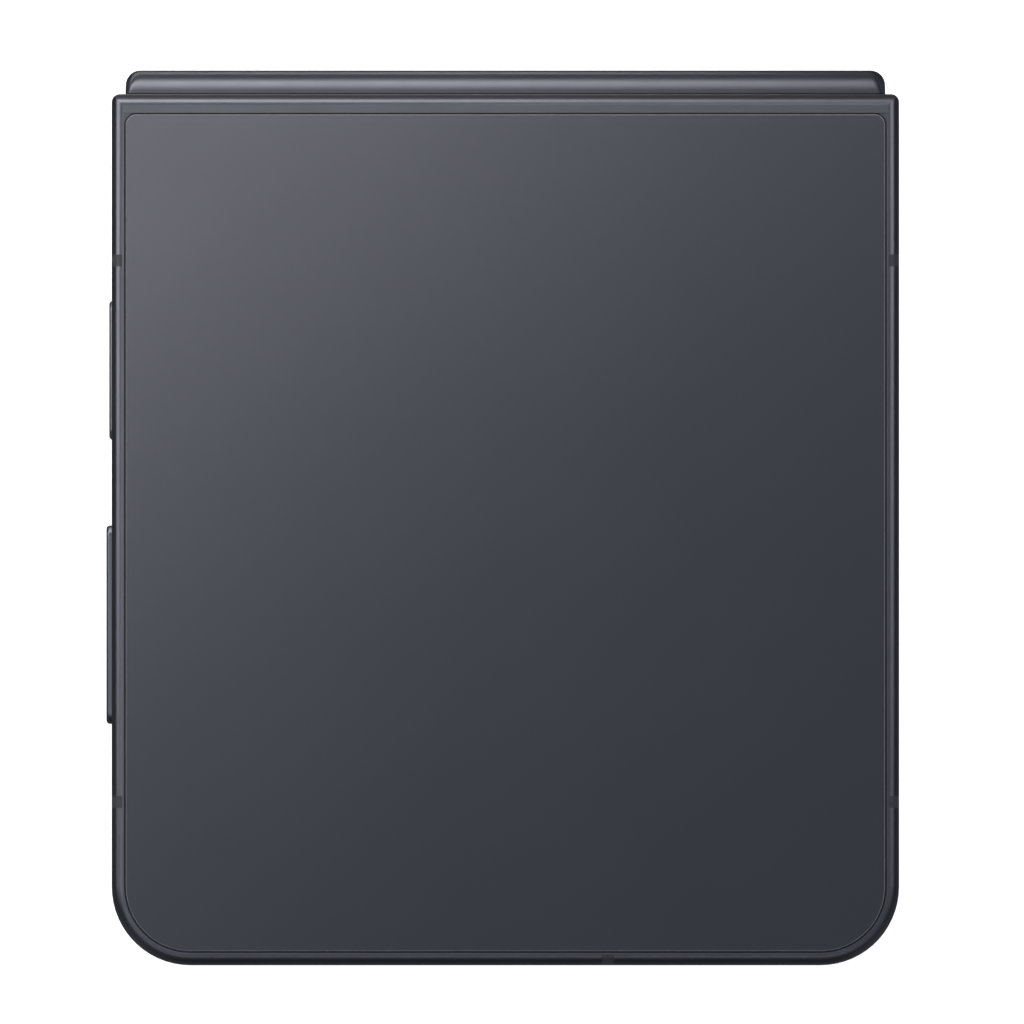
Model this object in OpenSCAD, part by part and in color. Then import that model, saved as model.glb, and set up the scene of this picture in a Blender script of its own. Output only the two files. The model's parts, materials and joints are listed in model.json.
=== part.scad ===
// Clamshell phone with a folding inner display: two thin halves joined by a twin-axis spine.
// X runs across the phone, +Y points to the spine, +Z is up.
// The phone lies folded on the two camera rings of its lower, cover half.
// Heights inside a half are counted from its outer glass face towards the fold.

/* [Halves] */
// Width of each half across its side rails
body_w = 75.2; // [72:0.1:80]
// Length of each half from its free edge to its hinge edge
half_len = 83.2; // [80:0.1:90]
// Thickness of each half
half_t = 6.5; // [6.3:0.1:7.5]
// Gap between the folded halves
fold_gap = 0.7; // [0.6:0.05:0.9]
// Plan radius of the corners at the free edge
corner_r = 7.5; // [6.5:0.1:9]
// Plan radius of the corners at the hinge edge
hinge_corner_r = 0.8; // [0.6:0.05:1]
// Rounding of the rails beside the outer glass
rail_round = 1.05; // [0.6:0.05:1.1]
// Rounding of the rails beside the folding display
inner_round = 0.45; // [0.3:0.05:0.6]

/* [Frames] */
// Width of the rail's rim beside the outer glass
rim_w = 1.2; // [1.1:0.05:1.4]
// Width of the rim along the hinge edge
hinge_rim_w = 1.8; // [1.6:0.1:2.2]
// Whole thickness of the rail, with the ledge that carries the glass
rail_wall = 2; // [1.8:0.05:2.3]
// Thickness of the midplate behind the folding display
mid_t = 0.6; // [0.5:0.05:0.8]
// Length of the solid block beside the hinge
block_len = 8; // [7.8:0.1:9]
// Length of an antenna break along the rail
band_w = 1.14; // [0.8:0.02:1.6]
// Depth of an antenna break into the rail
band_depth = 1; // [0.7:0.05:1.1]
// Centre of the antenna breaks from the hinge edge
band_from_hinge = 15.9; // [12:0.1:18]
// Centre of the outer antenna breaks beyond the end of the volume key
band_past_keys = 7.4; // [3:0.1:8]
// Centre of the break in the free edge, from the middle
band_from_middle = 9.8; // [8:0.1:11]

/* [Glass] */
// Thickness of the outer glass panels
glass_t = 0.55; // [0.45:0.05:0.7]
// Dark gap round the outer glass panels
glass_gap = 0.1; // [0.05:0.01:0.15]
// Corner radius of the outer glass beside the hinge
glass_hinge_r = 1.05; // [0.6:0.05:1.5]

/* [Folding display] */
// Depth of the folding display below the bezel
display_sink = 0.3; // [0.2:0.02:0.35]
// Thickness of the folding display
display_t = 0.35; // [0.25:0.02:0.4]
// Thickness of the metal plate under the display
plate_t = 0.2; // [0.15:0.01:0.25]
// Distance of the display's edge from the side of the phone
display_inset = 2.3; // [2.2:0.05:2.6]
// Width of the bezel lip over the display's edge
bezel_lip = 0.7; // [0.5:0.05:1]

/* [Hinge] */
// Depth of each fold axis below its half's inner face
axis_depth = 1.15; // [1.05:0.05:1.2]
// Gap between the hinge edges when the phone is open
edge_gap = 0.3; // [0.2:0.05:0.4]
// How far the spine stands beyond the hinge edges
spine_reach = 2.3; // [2.2:0.05:2.5]
// Distance of the spine's ends from the sides of the phone
spine_inset = 1.3; // [1.28:0.01:1.4]
// Thickness of the spine cover
spine_wall = 0.6; // [0.5:0.02:0.7]
// Plan radius of the spine's ends
spine_end_r = 1.4; // [1:0.1:2]
// Clearance between the spine and the hollows of the halves
spine_clear = 0.15; // [0.1:0.01:0.2]
// Distance of each hinge module from the middle of the spine
module_x = 23; // [20:0.5:26]
// Width of each rotator
rotator_w = 5; // [4:0.1:6]
// Running clearance of the rotators
rotator_clear = 0.05; // [0.04:0.01:0.08]
// Thickness of the cheeks beside the rotators
cheek_t = 0.8; // [0.6:0.05:1.2]
// Length of the housing that holds the detent plungers
housing_len = 5; // [4.5:0.1:6]
// Travel of the detent plungers
plunger_travel = 0.3; // [0.2:0.02:0.4]

/* [Cameras] */
// How far the camera rings stand proud of the cover glass
ring_proud = 0.6; // [0.4:0.05:0.9]
// Outer radius of the camera rings
ring_r = 6.2; // [5.8:0.1:6.6]
// Distance of the outer camera from the side of the phone
camera_from_side = 11.1; // [10:0.1:13]
// Distance between the cameras
camera_pitch = 13.6; // [13.4:0.1:15]
// Distance of the cameras from the free edge
camera_from_free = 9.6; // [9:0.1:11]
// Travel of the focusing lens each way
focus_travel = 0.15; // [0.1:0.01:0.2]
// Distance of the front camera from the free edge
front_camera_from_free = 5.8; // [5.5:0.1:6.5]

/* [Keys] */
// Height of the keys
key_h = 2; // [1.6:0.1:2.2]
// Length of the power key
power_len = 13.3; // [11:0.1:15]
// Start of the power key from the hinge edge
power_from_hinge = 19.7; // [18.5:0.1:22]
// How far the power key stands out of the rail
power_proud = 0.32; // [0.15:0.01:0.4]
// Length of the volume key
volume_len = 19; // [16:0.1:22]
// Start of the volume key from the hinge edge
volume_from_hinge = 41.2; // [40:0.1:43]
// How far the volume key stands out of the rail
volume_proud = 0.59; // [0.3:0.01:0.7]
// Travel of a pressed key
key_travel = 0.2; // [0.15:0.01:0.22]

/* [Card tray] */
// Width of the tray's end in the rail
tray_w = 13.2; // [12.6:0.1:14]
// Height of the tray's end in the rail
tray_h = 1.6; // [1.4:0.05:1.9]
// Depth of the tray behind the rail
tray_len = 15; // [14.5:0.1:16]
// Centre of the tray from the hinge edge
tray_from_hinge = 34; // [30:0.1:38]
// Diameter of the ejector hole
eject_d = 0.9; // [0.7:0.05:1]

/* [Charging socket] */
// Width of the socket's mouth
usb_w = 8.34; // [8.3:0.02:8.4]
// Height of the socket's mouth
usb_h = 2.56; // [2.5:0.02:2.6]
// Depth of the socket
usb_depth = 6.4; // [6:0.1:7]
// Thickness of the socket's shell
usb_wall = 0.25; // [0.2:0.01:0.3]

/* [Inside] */
// Gap between neighbouring pieces inside a half
part_gap = 1; // [0.6:0.1:1.5]
// Distance of the main board's inner edge from the free edge
board_from_free = 30; // [28:0.5:33]
// Thickness of the main board
board_t = 0.8; // [0.6:0.05:1]
// Thickness of the charging board
sub_board_t = 0.7; // [0.6:0.05:1]
// Distance of the main battery from the free edge
battery_from_free = 24; // [22:0.5:28]
// Outer radius of the charging coil
coil_r = 21; // [16:0.5:24]
// Inner radius of the charging coil
coil_in_r = 9; // [7:0.5:12]
// Thickness of the charging coil
coil_t = 0.35; // [0.25:0.05:0.4]
// Thickness of the outer screen panel
cover_screen_t = 0.6; // [0.5:0.05:0.8]
// Length of the vibration motor
motor_len = 10; // [8:0.5:11]
// Width of the vibration motor
motor_w = 8; // [6:0.5:9]
// Travel of the vibration motor's weight each way
motor_travel = 0.3; // [0.2:0.05:0.4]
// Length of the earpiece
earpiece_len = 14.5; // [10:0.5:16]
// Diameter of the loudspeaker holes
speaker_d = 1.1; // [0.8:0.05:1.3]
// Distance between the loudspeaker holes
speaker_pitch = 2.1; // [1.8:0.1:2.3]
// Diameter of the microphone holes
mic_d = 0.8; // [0.5:0.05:1]
// Width of the flat cables across the hinge
flex_w = 12; // [8:0.5:16]
// Length of a magnet in the midplates
magnet_len = 7.8; // [6:0.2:9]
// Width of a magnet in the midplates
magnet_w = 2.3; // [2:0.1:2.6]
// Length of the fold bumpers
bumper_len = 3.6; // [2:0.1:5]
// Width of the fold bumpers
bumper_w = 1; // [0.7:0.05:1.2]

/* [Hidden] */
$fn = 64;

eps = 0.01;
// Plan of the phone
free_y = -(half_len + spine_reach) / 2;
hinge_y = free_y + half_len;
side_x = body_w / 2;
// Fold axes
axis_gap = fold_gap + 2 * axis_depth;
axis_in = (axis_gap - edge_gap) / 2;
axis_y = hinge_y - axis_in;
axis_h = half_t - axis_depth;
z_mid = ring_proud + half_t + fold_gap / 2;
top_z = 2 * z_mid - ring_proud;
spine_r = axis_in + spine_reach;
spine_in_r = spine_r - spine_wall;
hollow_r = spine_r + spine_clear;
lip_h = axis_h - hollow_r;
spine_x = side_x - spine_inset;
// Layers behind the folding display
display_h = half_t - display_sink - display_t;
mid_top_h = display_h - plate_t;
mid_h = mid_top_h - mid_t;
// Room for the pieces inside a half
seat_gap = 0.1;
in_x = side_x - rail_wall - seat_gap;
in_y0 = free_y + rail_wall + seat_gap;
in_y1 = hinge_y - block_len - seat_gap;
in_h1 = mid_h - seat_gap;
glue_t = 0.05;
// Hinge pieces
arm_t = mid_t / 2;
rotator_r0 = 1.9;
rotator_r1 = spine_in_r - 0.15;
rib_r0 = 1.25;
rotator_start = 65;
shell_end = 82;
cheek_x = rotator_w / 2 + 0.1;
screw_r = 0.45;
screw_head_r = 0.8;
screw_head_t = 0.3;
flex_t = 0.12;
// Plungers
plunger_r = 0.5;
plunger_at = (rotator_r0 + rotator_r1) / 2;
plunger_turn = 76;
plunger_len = 1.6;
// Keys and tray
key_room_x = side_x - 5;
key_y0 = hinge_y - power_from_hinge;
volume_y0 = hinge_y - volume_from_hinge;
mid_half_h = half_t / 2;
key_clear = 0.1;
key_back_x = side_x - rail_wall - 0.05;
key_flange_t = 0.35;
key_flange_side = 0.6;
nub_t = 0.12;
nub_len = 2;
nub_h = 1.2;
switch_len = 3.2;
switch_h = 2.2;
switch_x = key_flange_t + nub_t + key_travel + 0.03 - key_back_x;
tray_y = hinge_y - tray_from_hinge;
tray_t = 0.8;
tray_clear = 0.08;
tray_side = 0.9;
card_w = 9;
eject_y = tray_y - tray_w / 2 + 1.6;
socket_wall = 0.3;
socket_h = tray_t + 2 * (tray_clear + socket_wall);
// Cameras
camera_x = -(side_x - camera_from_side);
camera_y = free_y + camera_from_free;
cameras = [camera_x, camera_x + camera_pitch];
window_r = ring_r - 1.35;
sleeve_r = ring_r - 0.65;
ledge_r = ring_r - 2.5;
window_t = 0.5;
sleeve_h = 0.9;
wide_side = 9.6;
lens_r = 3.2;
lens_clear = 0.1;
window_h0 = 0.25 - ring_proud;
lens_h0 = window_h0 + window_t + focus_travel + 0.3;
lens_mouth_r = 2.1;
ultrawide_side = 8.6;
ultrawide_r = 2.9;
ultrawide_mouth_r = 1.6;
flash_r = 1.4;
flash_step = 0.2;
front_y = free_y + front_camera_from_free;
front_side = 5;
front_lens_r = 1.4;
slit_len = 12;
slit_w = 0.35;
// Boards
board_h = 2;
board_y1 = free_y + board_from_free;
board_split_x = front_side / 2 + 2;
board_inset = 7.5;
shield_inset = 1.5;
shield_gap = 1.2;
shield_split_x = (board_split_x + in_x) / 2;
battery_y0 = free_y + battery_from_free;
speaker_x1 = -usb_w / 2 - 5.6;
sub_board_h = board_h + 0.85;
usb_inset = 0.35;
usb_back_t = 0.9;
tongue_w = 6.7;
tongue_t = 0.7;
sub_board_x0 = speaker_x1 + 1.3;
sub_board_x1 = in_x - motor_len - 6.5;
mic_x = sub_board_x1 - 4;
mic_w = 3.6;
mic_len = 2.6;
// Vibration motor, against the free edge near the side
motor_x1 = in_x - 4.5;
motor_x0 = motor_x1 - motor_len;
motor_y0 = in_y0 + 0.4;
motor_y1 = motor_y0 + motor_w;
motor_h0 = 1.4;
motor_wall = 0.3;
// Magnets
magnet_x = side_x - corner_r - 0.7;
magnet_y = free_y + 5.4;

// ---------- helpers ----------

// Rectangle with its own radius at each corner, counter-clockwise from x0, y0
module rounded(x0, y0, x1, y1, r) {
    polygon([[x0 + r[0], y0], [x1 - r[1], y0], [x1, y0 + r[1]], [x1, y1 - r[2]],
        [x1 - r[2], y1], [x0 + r[3], y1], [x0, y1 - r[3]], [x0, y0 + r[0]]]);
    centres = [[x0 + r[0], y0 + r[0]], [x1 - r[1], y0 + r[1]],
        [x1 - r[2], y1 - r[2]], [x0 + r[3], y1 - r[3]]];
    for (i = [0:3]) if (r[i] > 0) translate(centres[i]) rotate(180 + 90 * i) intersection() {
        circle(r[i]);
        square(2 * r[i]);
    }
}

// Extrudes a section drawn as (x, height) along Y
module along_y(y0, y1) translate([0, y1, 0]) rotate([90, 0, 0]) linear_extrude(y1 - y0) children();

// Extrudes a section drawn as (y, height) along X
module along_x(x0, x1) translate([x0, 0, 0]) rotate([90, 0, 90]) linear_extrude(x1 - x0) children();

// Extrudes a plan upwards between two heights
module between(h0, h1) translate([0, 0, h0]) linear_extrude(h1 - h0) children();

// A box with rounded upright edges
module block(x0, y0, x1, y1, h0, h1, r = 0.5)
    between(h0, h1) rounded(x0, y0, x1, y1, [r, r, r, r]);

module both_sides() for (s = [0, 1]) mirror([s, 0, 0]) children();

// Carries a section drawn as (inset, height) up both sides and round the free end
module round_free_end(y_end) {
    both_sides() {
        translate([-side_x, 0, 0]) along_y(free_y + corner_r, y_end) children();
        translate([corner_r - side_x, free_y + corner_r, 0]) rotate([0, 0, 180])
            rotate_extrude(angle = 90) translate([corner_r, 0]) mirror([1, 0]) children();
    }
    translate([0, free_y, 0]) along_x(corner_r - side_x, side_x - corner_r) children();
}

// Plan of a half, set in from its sides, ending at y_end
module half_plan(inset, y_end, r_end)
    rounded(inset - side_x, free_y + inset, side_x - inset, y_end,
        [corner_r - inset, corner_r - inset, r_end, r_end]);

// Places a half's pieces: the cover half below, the plain half turned over above it
module on_cover() translate([0, 0, ring_proud]) children();
module on_plain() translate([0, 0, top_z]) mirror([0, 0, 1]) children();

// Places a section drawn as (out along +Y, out towards the half's glass) on the upper or lower axis
module on_axis(up) translate([axis_y, z_mid + up * axis_gap / 2]) scale([1, up]) children();

// ---------- frames ----------

module rail_section() {
    rounded(0, 0, rim_w, half_t, [rail_round, 0, 0, inner_round]);
    translate([rim_w - eps, glass_t]) square([rail_wall - rim_w + eps, mid_top_h - glass_t]);
}

// Side view that trims the rails: square behind the axis, round about it at the fold
module side_view() {
    translate([free_y - 1, -1]) square([half_len + 1 - axis_in, half_t + 2]);
    rounded(axis_y - 1, 0, hinge_y, axis_h, [0, rail_round, 0, 0]);
    translate([axis_y, axis_h]) circle(axis_in);
}

module rails() intersection() {
    round_free_end(hinge_y + 1) rail_section();
    along_x(-side_x - 1, side_x + 1) side_view();
    between(-1, half_t + 1)
        rounded(-side_x, free_y - 1, side_x, hinge_y, [0, 0, hinge_corner_r, hinge_corner_r]);
}

// Section of the lip over the spine and the solid block behind the spine's hollow
module hinge_block_section() {
    rounded(hinge_y - hinge_rim_w, 0, hinge_y, lip_h, [0, rail_round, 0.3, 0]);
    translate([hinge_y - block_len, glass_t])
        square([block_len - hinge_rim_w + eps, mid_top_h - glass_t]);
}

module spine_hollow() along_x(rim_w - side_x, side_x - rim_w) {
    translate([axis_y, axis_h]) circle(hollow_r);
    translate([axis_y, lip_h]) square([axis_in + 1, half_t]);
}

// Slots that the antenna breaks fill
module band_slots() {
    for (y = [hinge_y - band_from_hinge, volume_y0 - volume_len - band_past_keys]) both_sides()
        translate([-side_x - 1, y - band_w / 2, -1]) cube([band_depth + 1, band_w, half_t + 2]);
    translate([band_from_middle - band_w / 2, free_y - 1, -1])
        cube([band_w, band_depth + 1, half_t + 2]);
}

module screw_places() for (s = [-1, 1]) for (d = [-1, 1])
    translate([s * module_x + d * rotator_w / 4, axis_y - hollow_r - screw_head_r - 0.35, 0]) children();

module magnet_places() both_sides() translate([magnet_x, magnet_y, 0]) children();

// Plan of a magnet or of its pocket, larger by a clearance
module magnet_plan(d = 0) rounded(-magnet_len / 2 - d, -magnet_w / 2 - d,
    magnet_len / 2 + d, magnet_w / 2 + d, [1, 1, 1, 1] * 0.3);

module flex_slit() translate([-flex_w / 2 - 0.2, hinge_y - block_len - 1.2, mid_h - 1])
    cube([flex_w + 0.4, 0.6, mid_t + 2]);

module frame_body() difference() {
    union() {
        rails();
        along_x(rim_w - side_x - eps, side_x - rim_w + eps) hinge_block_section();
        between(mid_h, mid_top_h) half_plan(rail_wall - 0.2, hinge_y - block_len + 0.2, 0);
    }
    spine_hollow();
    band_slots();
    // pockets and threads for the rotators
    for (s = [-1, 1]) translate([s * module_x - rotator_w / 2 - 0.1, hinge_y - block_len + 0.3, mid_h])
        cube([rotator_w + 0.2, block_len, mid_t + 1]);
    screw_places() translate([0, 0, glass_t + 1]) cylinder(r = screw_r, h = half_t);
    magnet_places() between(mid_h - 1, half_t) magnet_plan(seat_gap);
    flex_slit();
}

module key_slot(y1, len) along_x(-side_x - 1, 0.5 - side_x + rail_wall)
    rounded(y1 - len - key_clear, mid_half_h - key_h / 2 - key_clear,
        y1 + key_clear, mid_half_h + key_h / 2 + key_clear,
        [1, 1, 1, 1] * (key_h / 2 + key_clear - eps));

module cover_frame() color("slategray") on_cover() difference() {
    frame_body();
    key_slot(key_y0, power_len);
    key_slot(volume_y0, volume_len);
    along_x(side_x - rail_wall - 0.5, side_x + 1)
        rounded(tray_y - tray_w / 2 - tray_clear, mid_half_h - tray_h / 2 - tray_clear,
            tray_y + tray_w / 2 + tray_clear, mid_half_h + tray_h / 2 + tray_clear,
            [1, 1, 1, 1] * (tray_h / 2 + tray_clear - eps));
    translate([0, front_y, mid_h - 1]) cylinder(r = front_lens_r + 0.5, h = half_t);
    // upper microphone
    translate([-side_x / 2, free_y - 1, mid_half_h]) rotate([-90, 0, 0])
        cylinder(d = mic_d, h = rail_wall + 2);
}

speaker_holes = 6;
speaker_x0 = speaker_x1 - speaker_pitch * (speaker_holes - 1) - 3.7;
module plain_frame() color("slategray") on_plain() difference() {
    frame_body();
    along_y(free_y - 1, free_y + rail_wall + 0.5)
        rounded(-usb_w / 2 - usb_wall - 0.05, mid_half_h - usb_h / 2 - usb_wall - 0.05,
            usb_w / 2 + usb_wall + 0.05, mid_half_h + usb_h / 2 + usb_wall + 0.05,
            [1, 1, 1, 1] * (usb_h / 2 + usb_wall + 0.05 - eps));
    for (i = [0:speaker_holes - 1]) translate([speaker_x0 + i * speaker_pitch, free_y - 1, mid_half_h])
        rotate([-90, 0, 0]) cylinder(d = speaker_d, h = rail_wall + 2);
    translate([mic_x, free_y - 1, mid_half_h]) rotate([-90, 0, 0])
        cylinder(d = mic_d, h = rail_wall + 2);
}

module antenna_bands() intersection() {
    rails();
    band_slots();
}
module cover_antenna_bands() color("dimgray") on_cover() antenna_bands();
module plain_antenna_bands() color("dimgray") on_plain() antenna_bands();

// ---------- outer glass ----------

module outer_glass() between(0, glass_t)
    half_plan(rim_w + glass_gap, hinge_y - hinge_rim_w - glass_gap, glass_hinge_r);

module cover_glass() color("black") on_cover() difference() {
    outer_glass();
    for (x = cameras) translate([x, camera_y, -1]) cylinder(r = sleeve_r + 0.05, h = glass_t + 2);
}

module back_glass() color("dimgray") on_plain() outer_glass();

module cover_screen() color("midnightblue") on_cover()
    block(0.6 - in_x, camera_y + ring_r + 1.2, in_x - 0.6, in_y1, glass_t, glass_t + cover_screen_t, 1);

// ---------- cameras ----------

module camera_rings() color("gray") on_cover() for (x = cameras) translate([x, camera_y, 0])
    rotate_extrude() polygon([[ring_r, 0], [ring_r, 0.15 - ring_proud], [ring_r - 0.15, -ring_proud],
        [window_r + 0.15, -ring_proud], [window_r + 0.02, 0.13 - ring_proud],
        [window_r + 0.02, window_h0 + window_t], [ledge_r, window_h0 + window_t],
        [ledge_r, sleeve_h], [sleeve_r, sleeve_h], [sleeve_r, 0]]);

module camera_windows() color("black") on_cover() for (x = cameras)
    translate([x, camera_y, window_h0]) cylinder(r = window_r, h = window_t);

module camera_case(side, bore_r, h0) difference() {
    union() {
        block(-side / 2, -side / 2, side / 2, side / 2, h0 + 0.7, in_h1, 0.6);
        translate([0, 0, h0]) cylinder(r = bore_r + 0.6, h = 2);
    }
    translate([0, 0, h0 - 1]) cylinder(r = bore_r, h = in_h1 - h0);
}

module wide_camera() color("darkslategray") on_cover() translate([cameras[0], camera_y, 0])
    camera_case(wide_side, lens_r + lens_clear, sleeve_h + glue_t);

module wide_lens() color("black") on_cover() translate([cameras[0], camera_y, 0]) difference() {
    translate([0, 0, lens_h0]) cylinder(r = lens_r, h = in_h1 - 1 - lens_h0 - 2 * focus_travel);
    translate([0, 0, lens_h0 - 1]) cylinder(r = lens_mouth_r, h = 1.4);
}

module ultrawide_camera() color("darkslategray") on_cover()
    translate([cameras[1], camera_y, 0]) difference() {
        union() {
            block(-ultrawide_side / 2, -ultrawide_side / 2, ultrawide_side / 2, ultrawide_side / 2,
                sleeve_h + 0.75, in_h1, 0.6);
            translate([0, 0, sleeve_h - 0.3]) cylinder(r = ultrawide_r, h = 2);
        }
        translate([0, 0, sleeve_h - 1]) cylinder(r = ultrawide_mouth_r, h = 1.1);
    }

module flash_lamp() color("khaki") on_cover()
    translate([cameras[1] + ring_r + 0.8 + flash_r, camera_y + ring_r - 2.4, glass_t]) {
        cylinder(r = flash_r, h = 0.6);
        base = flash_r + flash_step;
        translate([-base, -base, 0.6]) cube([2 * base, 2 * base, 0.5]);
    }

module front_camera() color("black") on_cover() translate([0, front_y, 0]) {
    block(-front_side / 2, -front_side / 2, front_side / 2, front_side / 2, 1.6, mid_h - 0.6, 0.4);
    translate([0, 0, mid_h - 0.7]) cylinder(r = front_lens_r, h = half_t - display_sink - mid_h + 0.5);
}

// ---------- cover half electronics ----------

module main_board() color("darkgreen") on_cover() between(board_h, board_h + board_t) {
    rounded(board_split_x, free_y + board_inset, in_x - 0.2, board_y1, [1, 1, 1, 1] * 0.8);
    rounded(0.1 - key_room_x, camera_y + wide_side / 2 + part_gap, board_split_x + 1, board_y1,
        [1, 0, 0, 1] * 0.8);
}

module board_shields() color("silver") on_cover() {
    y0 = free_y + board_inset + shield_inset;
    y1 = board_y1 - shield_inset;
    h = board_h + board_t;
    block(board_split_x + shield_inset, y0, shield_split_x - shield_gap / 2, y1, h, in_h1);
    block(shield_split_x + shield_gap / 2, y0, in_x - shield_inset, y1, h, in_h1);
    block(0.8 - key_room_x, camera_y + wide_side / 2 + part_gap + shield_inset,
        board_split_x, y1, h, in_h1);
}

module cover_battery() color("dimgray") on_cover()
    block(0.2 - key_room_x, board_y1 + part_gap, tray_tip_x - 2 - part_gap, in_y1,
        glass_t + cover_screen_t + seat_gap, in_h1, 1.2);

module earpiece() color("gray") on_cover()
    block(front_side / 2 + part_gap, in_y0, front_side / 2 + part_gap + earpiece_len,
        free_y + board_inset - 0.5, 1.6, in_h1, 0.6);

// ---------- keys ----------

module key(y1, len, proud) {
    r = key_h / 2 - eps;
    along_x(-side_x - proud, -key_back_x)
        rounded(y1 - len, mid_half_h - key_h / 2, y1, mid_half_h + key_h / 2, [r, r, r, r]);
    along_x(-key_back_x, key_flange_t - key_back_x)
        rounded(y1 - len - key_flange_side, mid_half_h - key_h / 2 - key_flange_side,
            y1 + key_flange_side, mid_half_h + key_h / 2 + key_flange_side, [1, 1, 1, 1] * 0.4);
}

// Pad of a length and height round y, set on edge along X
module pad(x0, x1, y, len, h) along_x(x0, x1)
    rounded(y - len / 2, mid_half_h - h / 2, y + len / 2, mid_half_h + h / 2, [1, 1, 1, 1] * 0.3);

module nub(y) pad(key_flange_t - key_back_x - eps, key_flange_t + nub_t - key_back_x, y, nub_len, nub_h);

volume_switches = [volume_y0 - volume_len * 0.2, volume_y0 - volume_len * 0.8];

module power_key() color("gray") on_cover() {
    key(key_y0, power_len, power_proud);
    nub(key_y0 - power_len / 2);
}

module volume_key() color("slategray") on_cover() {
    key(volume_y0, volume_len, volume_proud);
    for (y = volume_switches) nub(y);
}

module key_switches() color("silver") on_cover()
    for (y = concat([key_y0 - power_len / 2], volume_switches))
        pad(switch_x, -key_room_x, y, switch_len, switch_h);

// ---------- card tray ----------

tray_tip_x = side_x - rail_wall - tray_len;
tray_half = tray_w / 2 - tray_side;
module ejector_hole(x0, x1) translate([x0, eject_y, mid_half_h]) rotate([0, 90, 0])
    cylinder(d = eject_d, h = x1 - x0);
module tray_end_section(d) rounded(tray_y - tray_w / 2 + d, mid_half_h - tray_h / 2 + d,
    tray_y + tray_w / 2 - d, mid_half_h + tray_h / 2 - d, [1, 1, 1, 1] * (tray_h / 2 - d - eps));

module sim_tray() color("slategray") on_cover() difference() {
    union() {
        along_x(side_x - rim_w, side_x) tray_end_section(0);
        block(tray_tip_x, tray_y - tray_half, side_x - rim_w + eps, tray_y + tray_half,
            mid_half_h - tray_t / 2, mid_half_h + tray_t / 2, 0.6);
    }
    // card pocket and ejector hole
    block(tray_tip_x + 1.2, tray_y - card_w / 2, side_x - rail_wall - 1.3, tray_y + card_w / 2,
        mid_half_h - tray_t, mid_half_h + tray_t / 2 - 0.15, 0.8);
    ejector_hole(side_x - rim_w - 1, side_x + 1);
}

module tray_gasket() color("black") on_cover() difference() {
    along_x(side_x - rim_w - 0.5, side_x - rim_w) tray_end_section(0.02);
    along_x(side_x - rim_w - 1, side_x - rim_w + 1)
        translate([tray_y - tray_half, mid_half_h - tray_t / 2]) square([2 * tray_half, tray_t]);
    ejector_hole(side_x - rim_w - 1, side_x - rim_w + 1);
}

module sim_socket() color("silver") on_cover() difference() {
    block(tray_tip_x - 1.2, tray_y - tray_half - 0.8, in_x, tray_y + tray_half + 0.8,
        mid_half_h - socket_h / 2, mid_half_h + socket_h / 2, 0.4);
    translate([tray_tip_x - 0.2, tray_y - tray_half - tray_clear, mid_half_h - tray_t / 2 - tray_clear])
        cube([tray_len + 2, 2 * (tray_half + tray_clear), tray_t + 2 * tray_clear]);
}

// ---------- folding display ----------

module display_panel() between(display_h, display_h + display_t) half_plan(display_inset, axis_y, 0);

module display_plate() difference() {
    between(mid_top_h, display_h) half_plan(display_inset, axis_y - 0.8, 0);
    translate([-flex_w / 2 - 0.2, hinge_y - block_len - 1.4, mid_top_h - 1])
        cube([flex_w + 0.4, block_len + 2, plate_t + 2]);
}

module cover_display() color("black") on_cover() difference() {
    display_panel();
    translate([0, front_y, display_h - 1]) cylinder(r = front_lens_r + 0.3, h = display_t + 2);
}
module plain_display() color("black") on_plain() display_panel();

module cover_display_plate() color("silver") on_cover() difference() {
    display_plate();
    translate([0, front_y, mid_top_h - 1]) cylinder(r = front_lens_r + 0.3, h = plate_t + 2);
}
module plain_display_plate() color("silver") on_plain() display_plate();

module bezel_section() {
    translate([rim_w + 0.05, mid_top_h])
        square([display_inset - rim_w - 0.15, half_t - mid_top_h - 0.1]);
    rounded(rim_w + 0.05, half_t - display_sink + 0.02, display_inset + bezel_lip, half_t,
        [0, 0, 0.12, 0.12]);
}

module bezel() round_free_end(axis_y - 0.05) bezel_section();

module cover_bezel() color("black") on_cover() difference() {
    bezel();
    // sound slit of the earpiece
    translate([-slit_len / 2, free_y + display_inset - 0.75, half_t - 0.4]) cube([slit_len, slit_w, 1]);
}
module plain_bezel() color("black") on_plain() bezel();

bumper_h = fold_gap - 0.1;
module fold_bumpers() color("black") on_plain() both_sides() {
    translate([0, 0, half_t]) between(0, bumper_h)
        rounded(side_x - rim_w - 0.5 - bumper_w, -bumper_len / 2, side_x - rim_w - 0.5, bumper_len / 2,
            [1, 1, 1, 1] * bumper_w * 0.45);
    translate([side_x / 2, 0, half_t]) between(0, bumper_h)
        rounded(0, free_y + rim_w + 0.5, bumper_len, free_y + rim_w + 0.5 + bumper_w,
            [1, 1, 1, 1] * bumper_w * 0.45);
}

// ---------- plain half electronics ----------

coil_y = (battery_y0 + in_y1) / 2 - 5;
module charging_coil() color("chocolate") on_plain() translate([0, coil_y, glass_t]) {
    difference() {
        cylinder(r = coil_r, h = coil_t);
        translate([0, 0, -1]) cylinder(r = coil_in_r, h = coil_t + 2);
    }
    // tail to the charging board
    block(-1.5, battery_y0 - 6 - coil_y, 1.5, 0.5 - coil_r, 0, coil_t, 0.2);
}

module main_battery() color("dimgray") on_plain()
    block(2 * part_gap - in_x, battery_y0, in_x - 2 * part_gap, in_y1,
        glass_t + coil_t + seat_gap, in_h1, 1.2);

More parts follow.
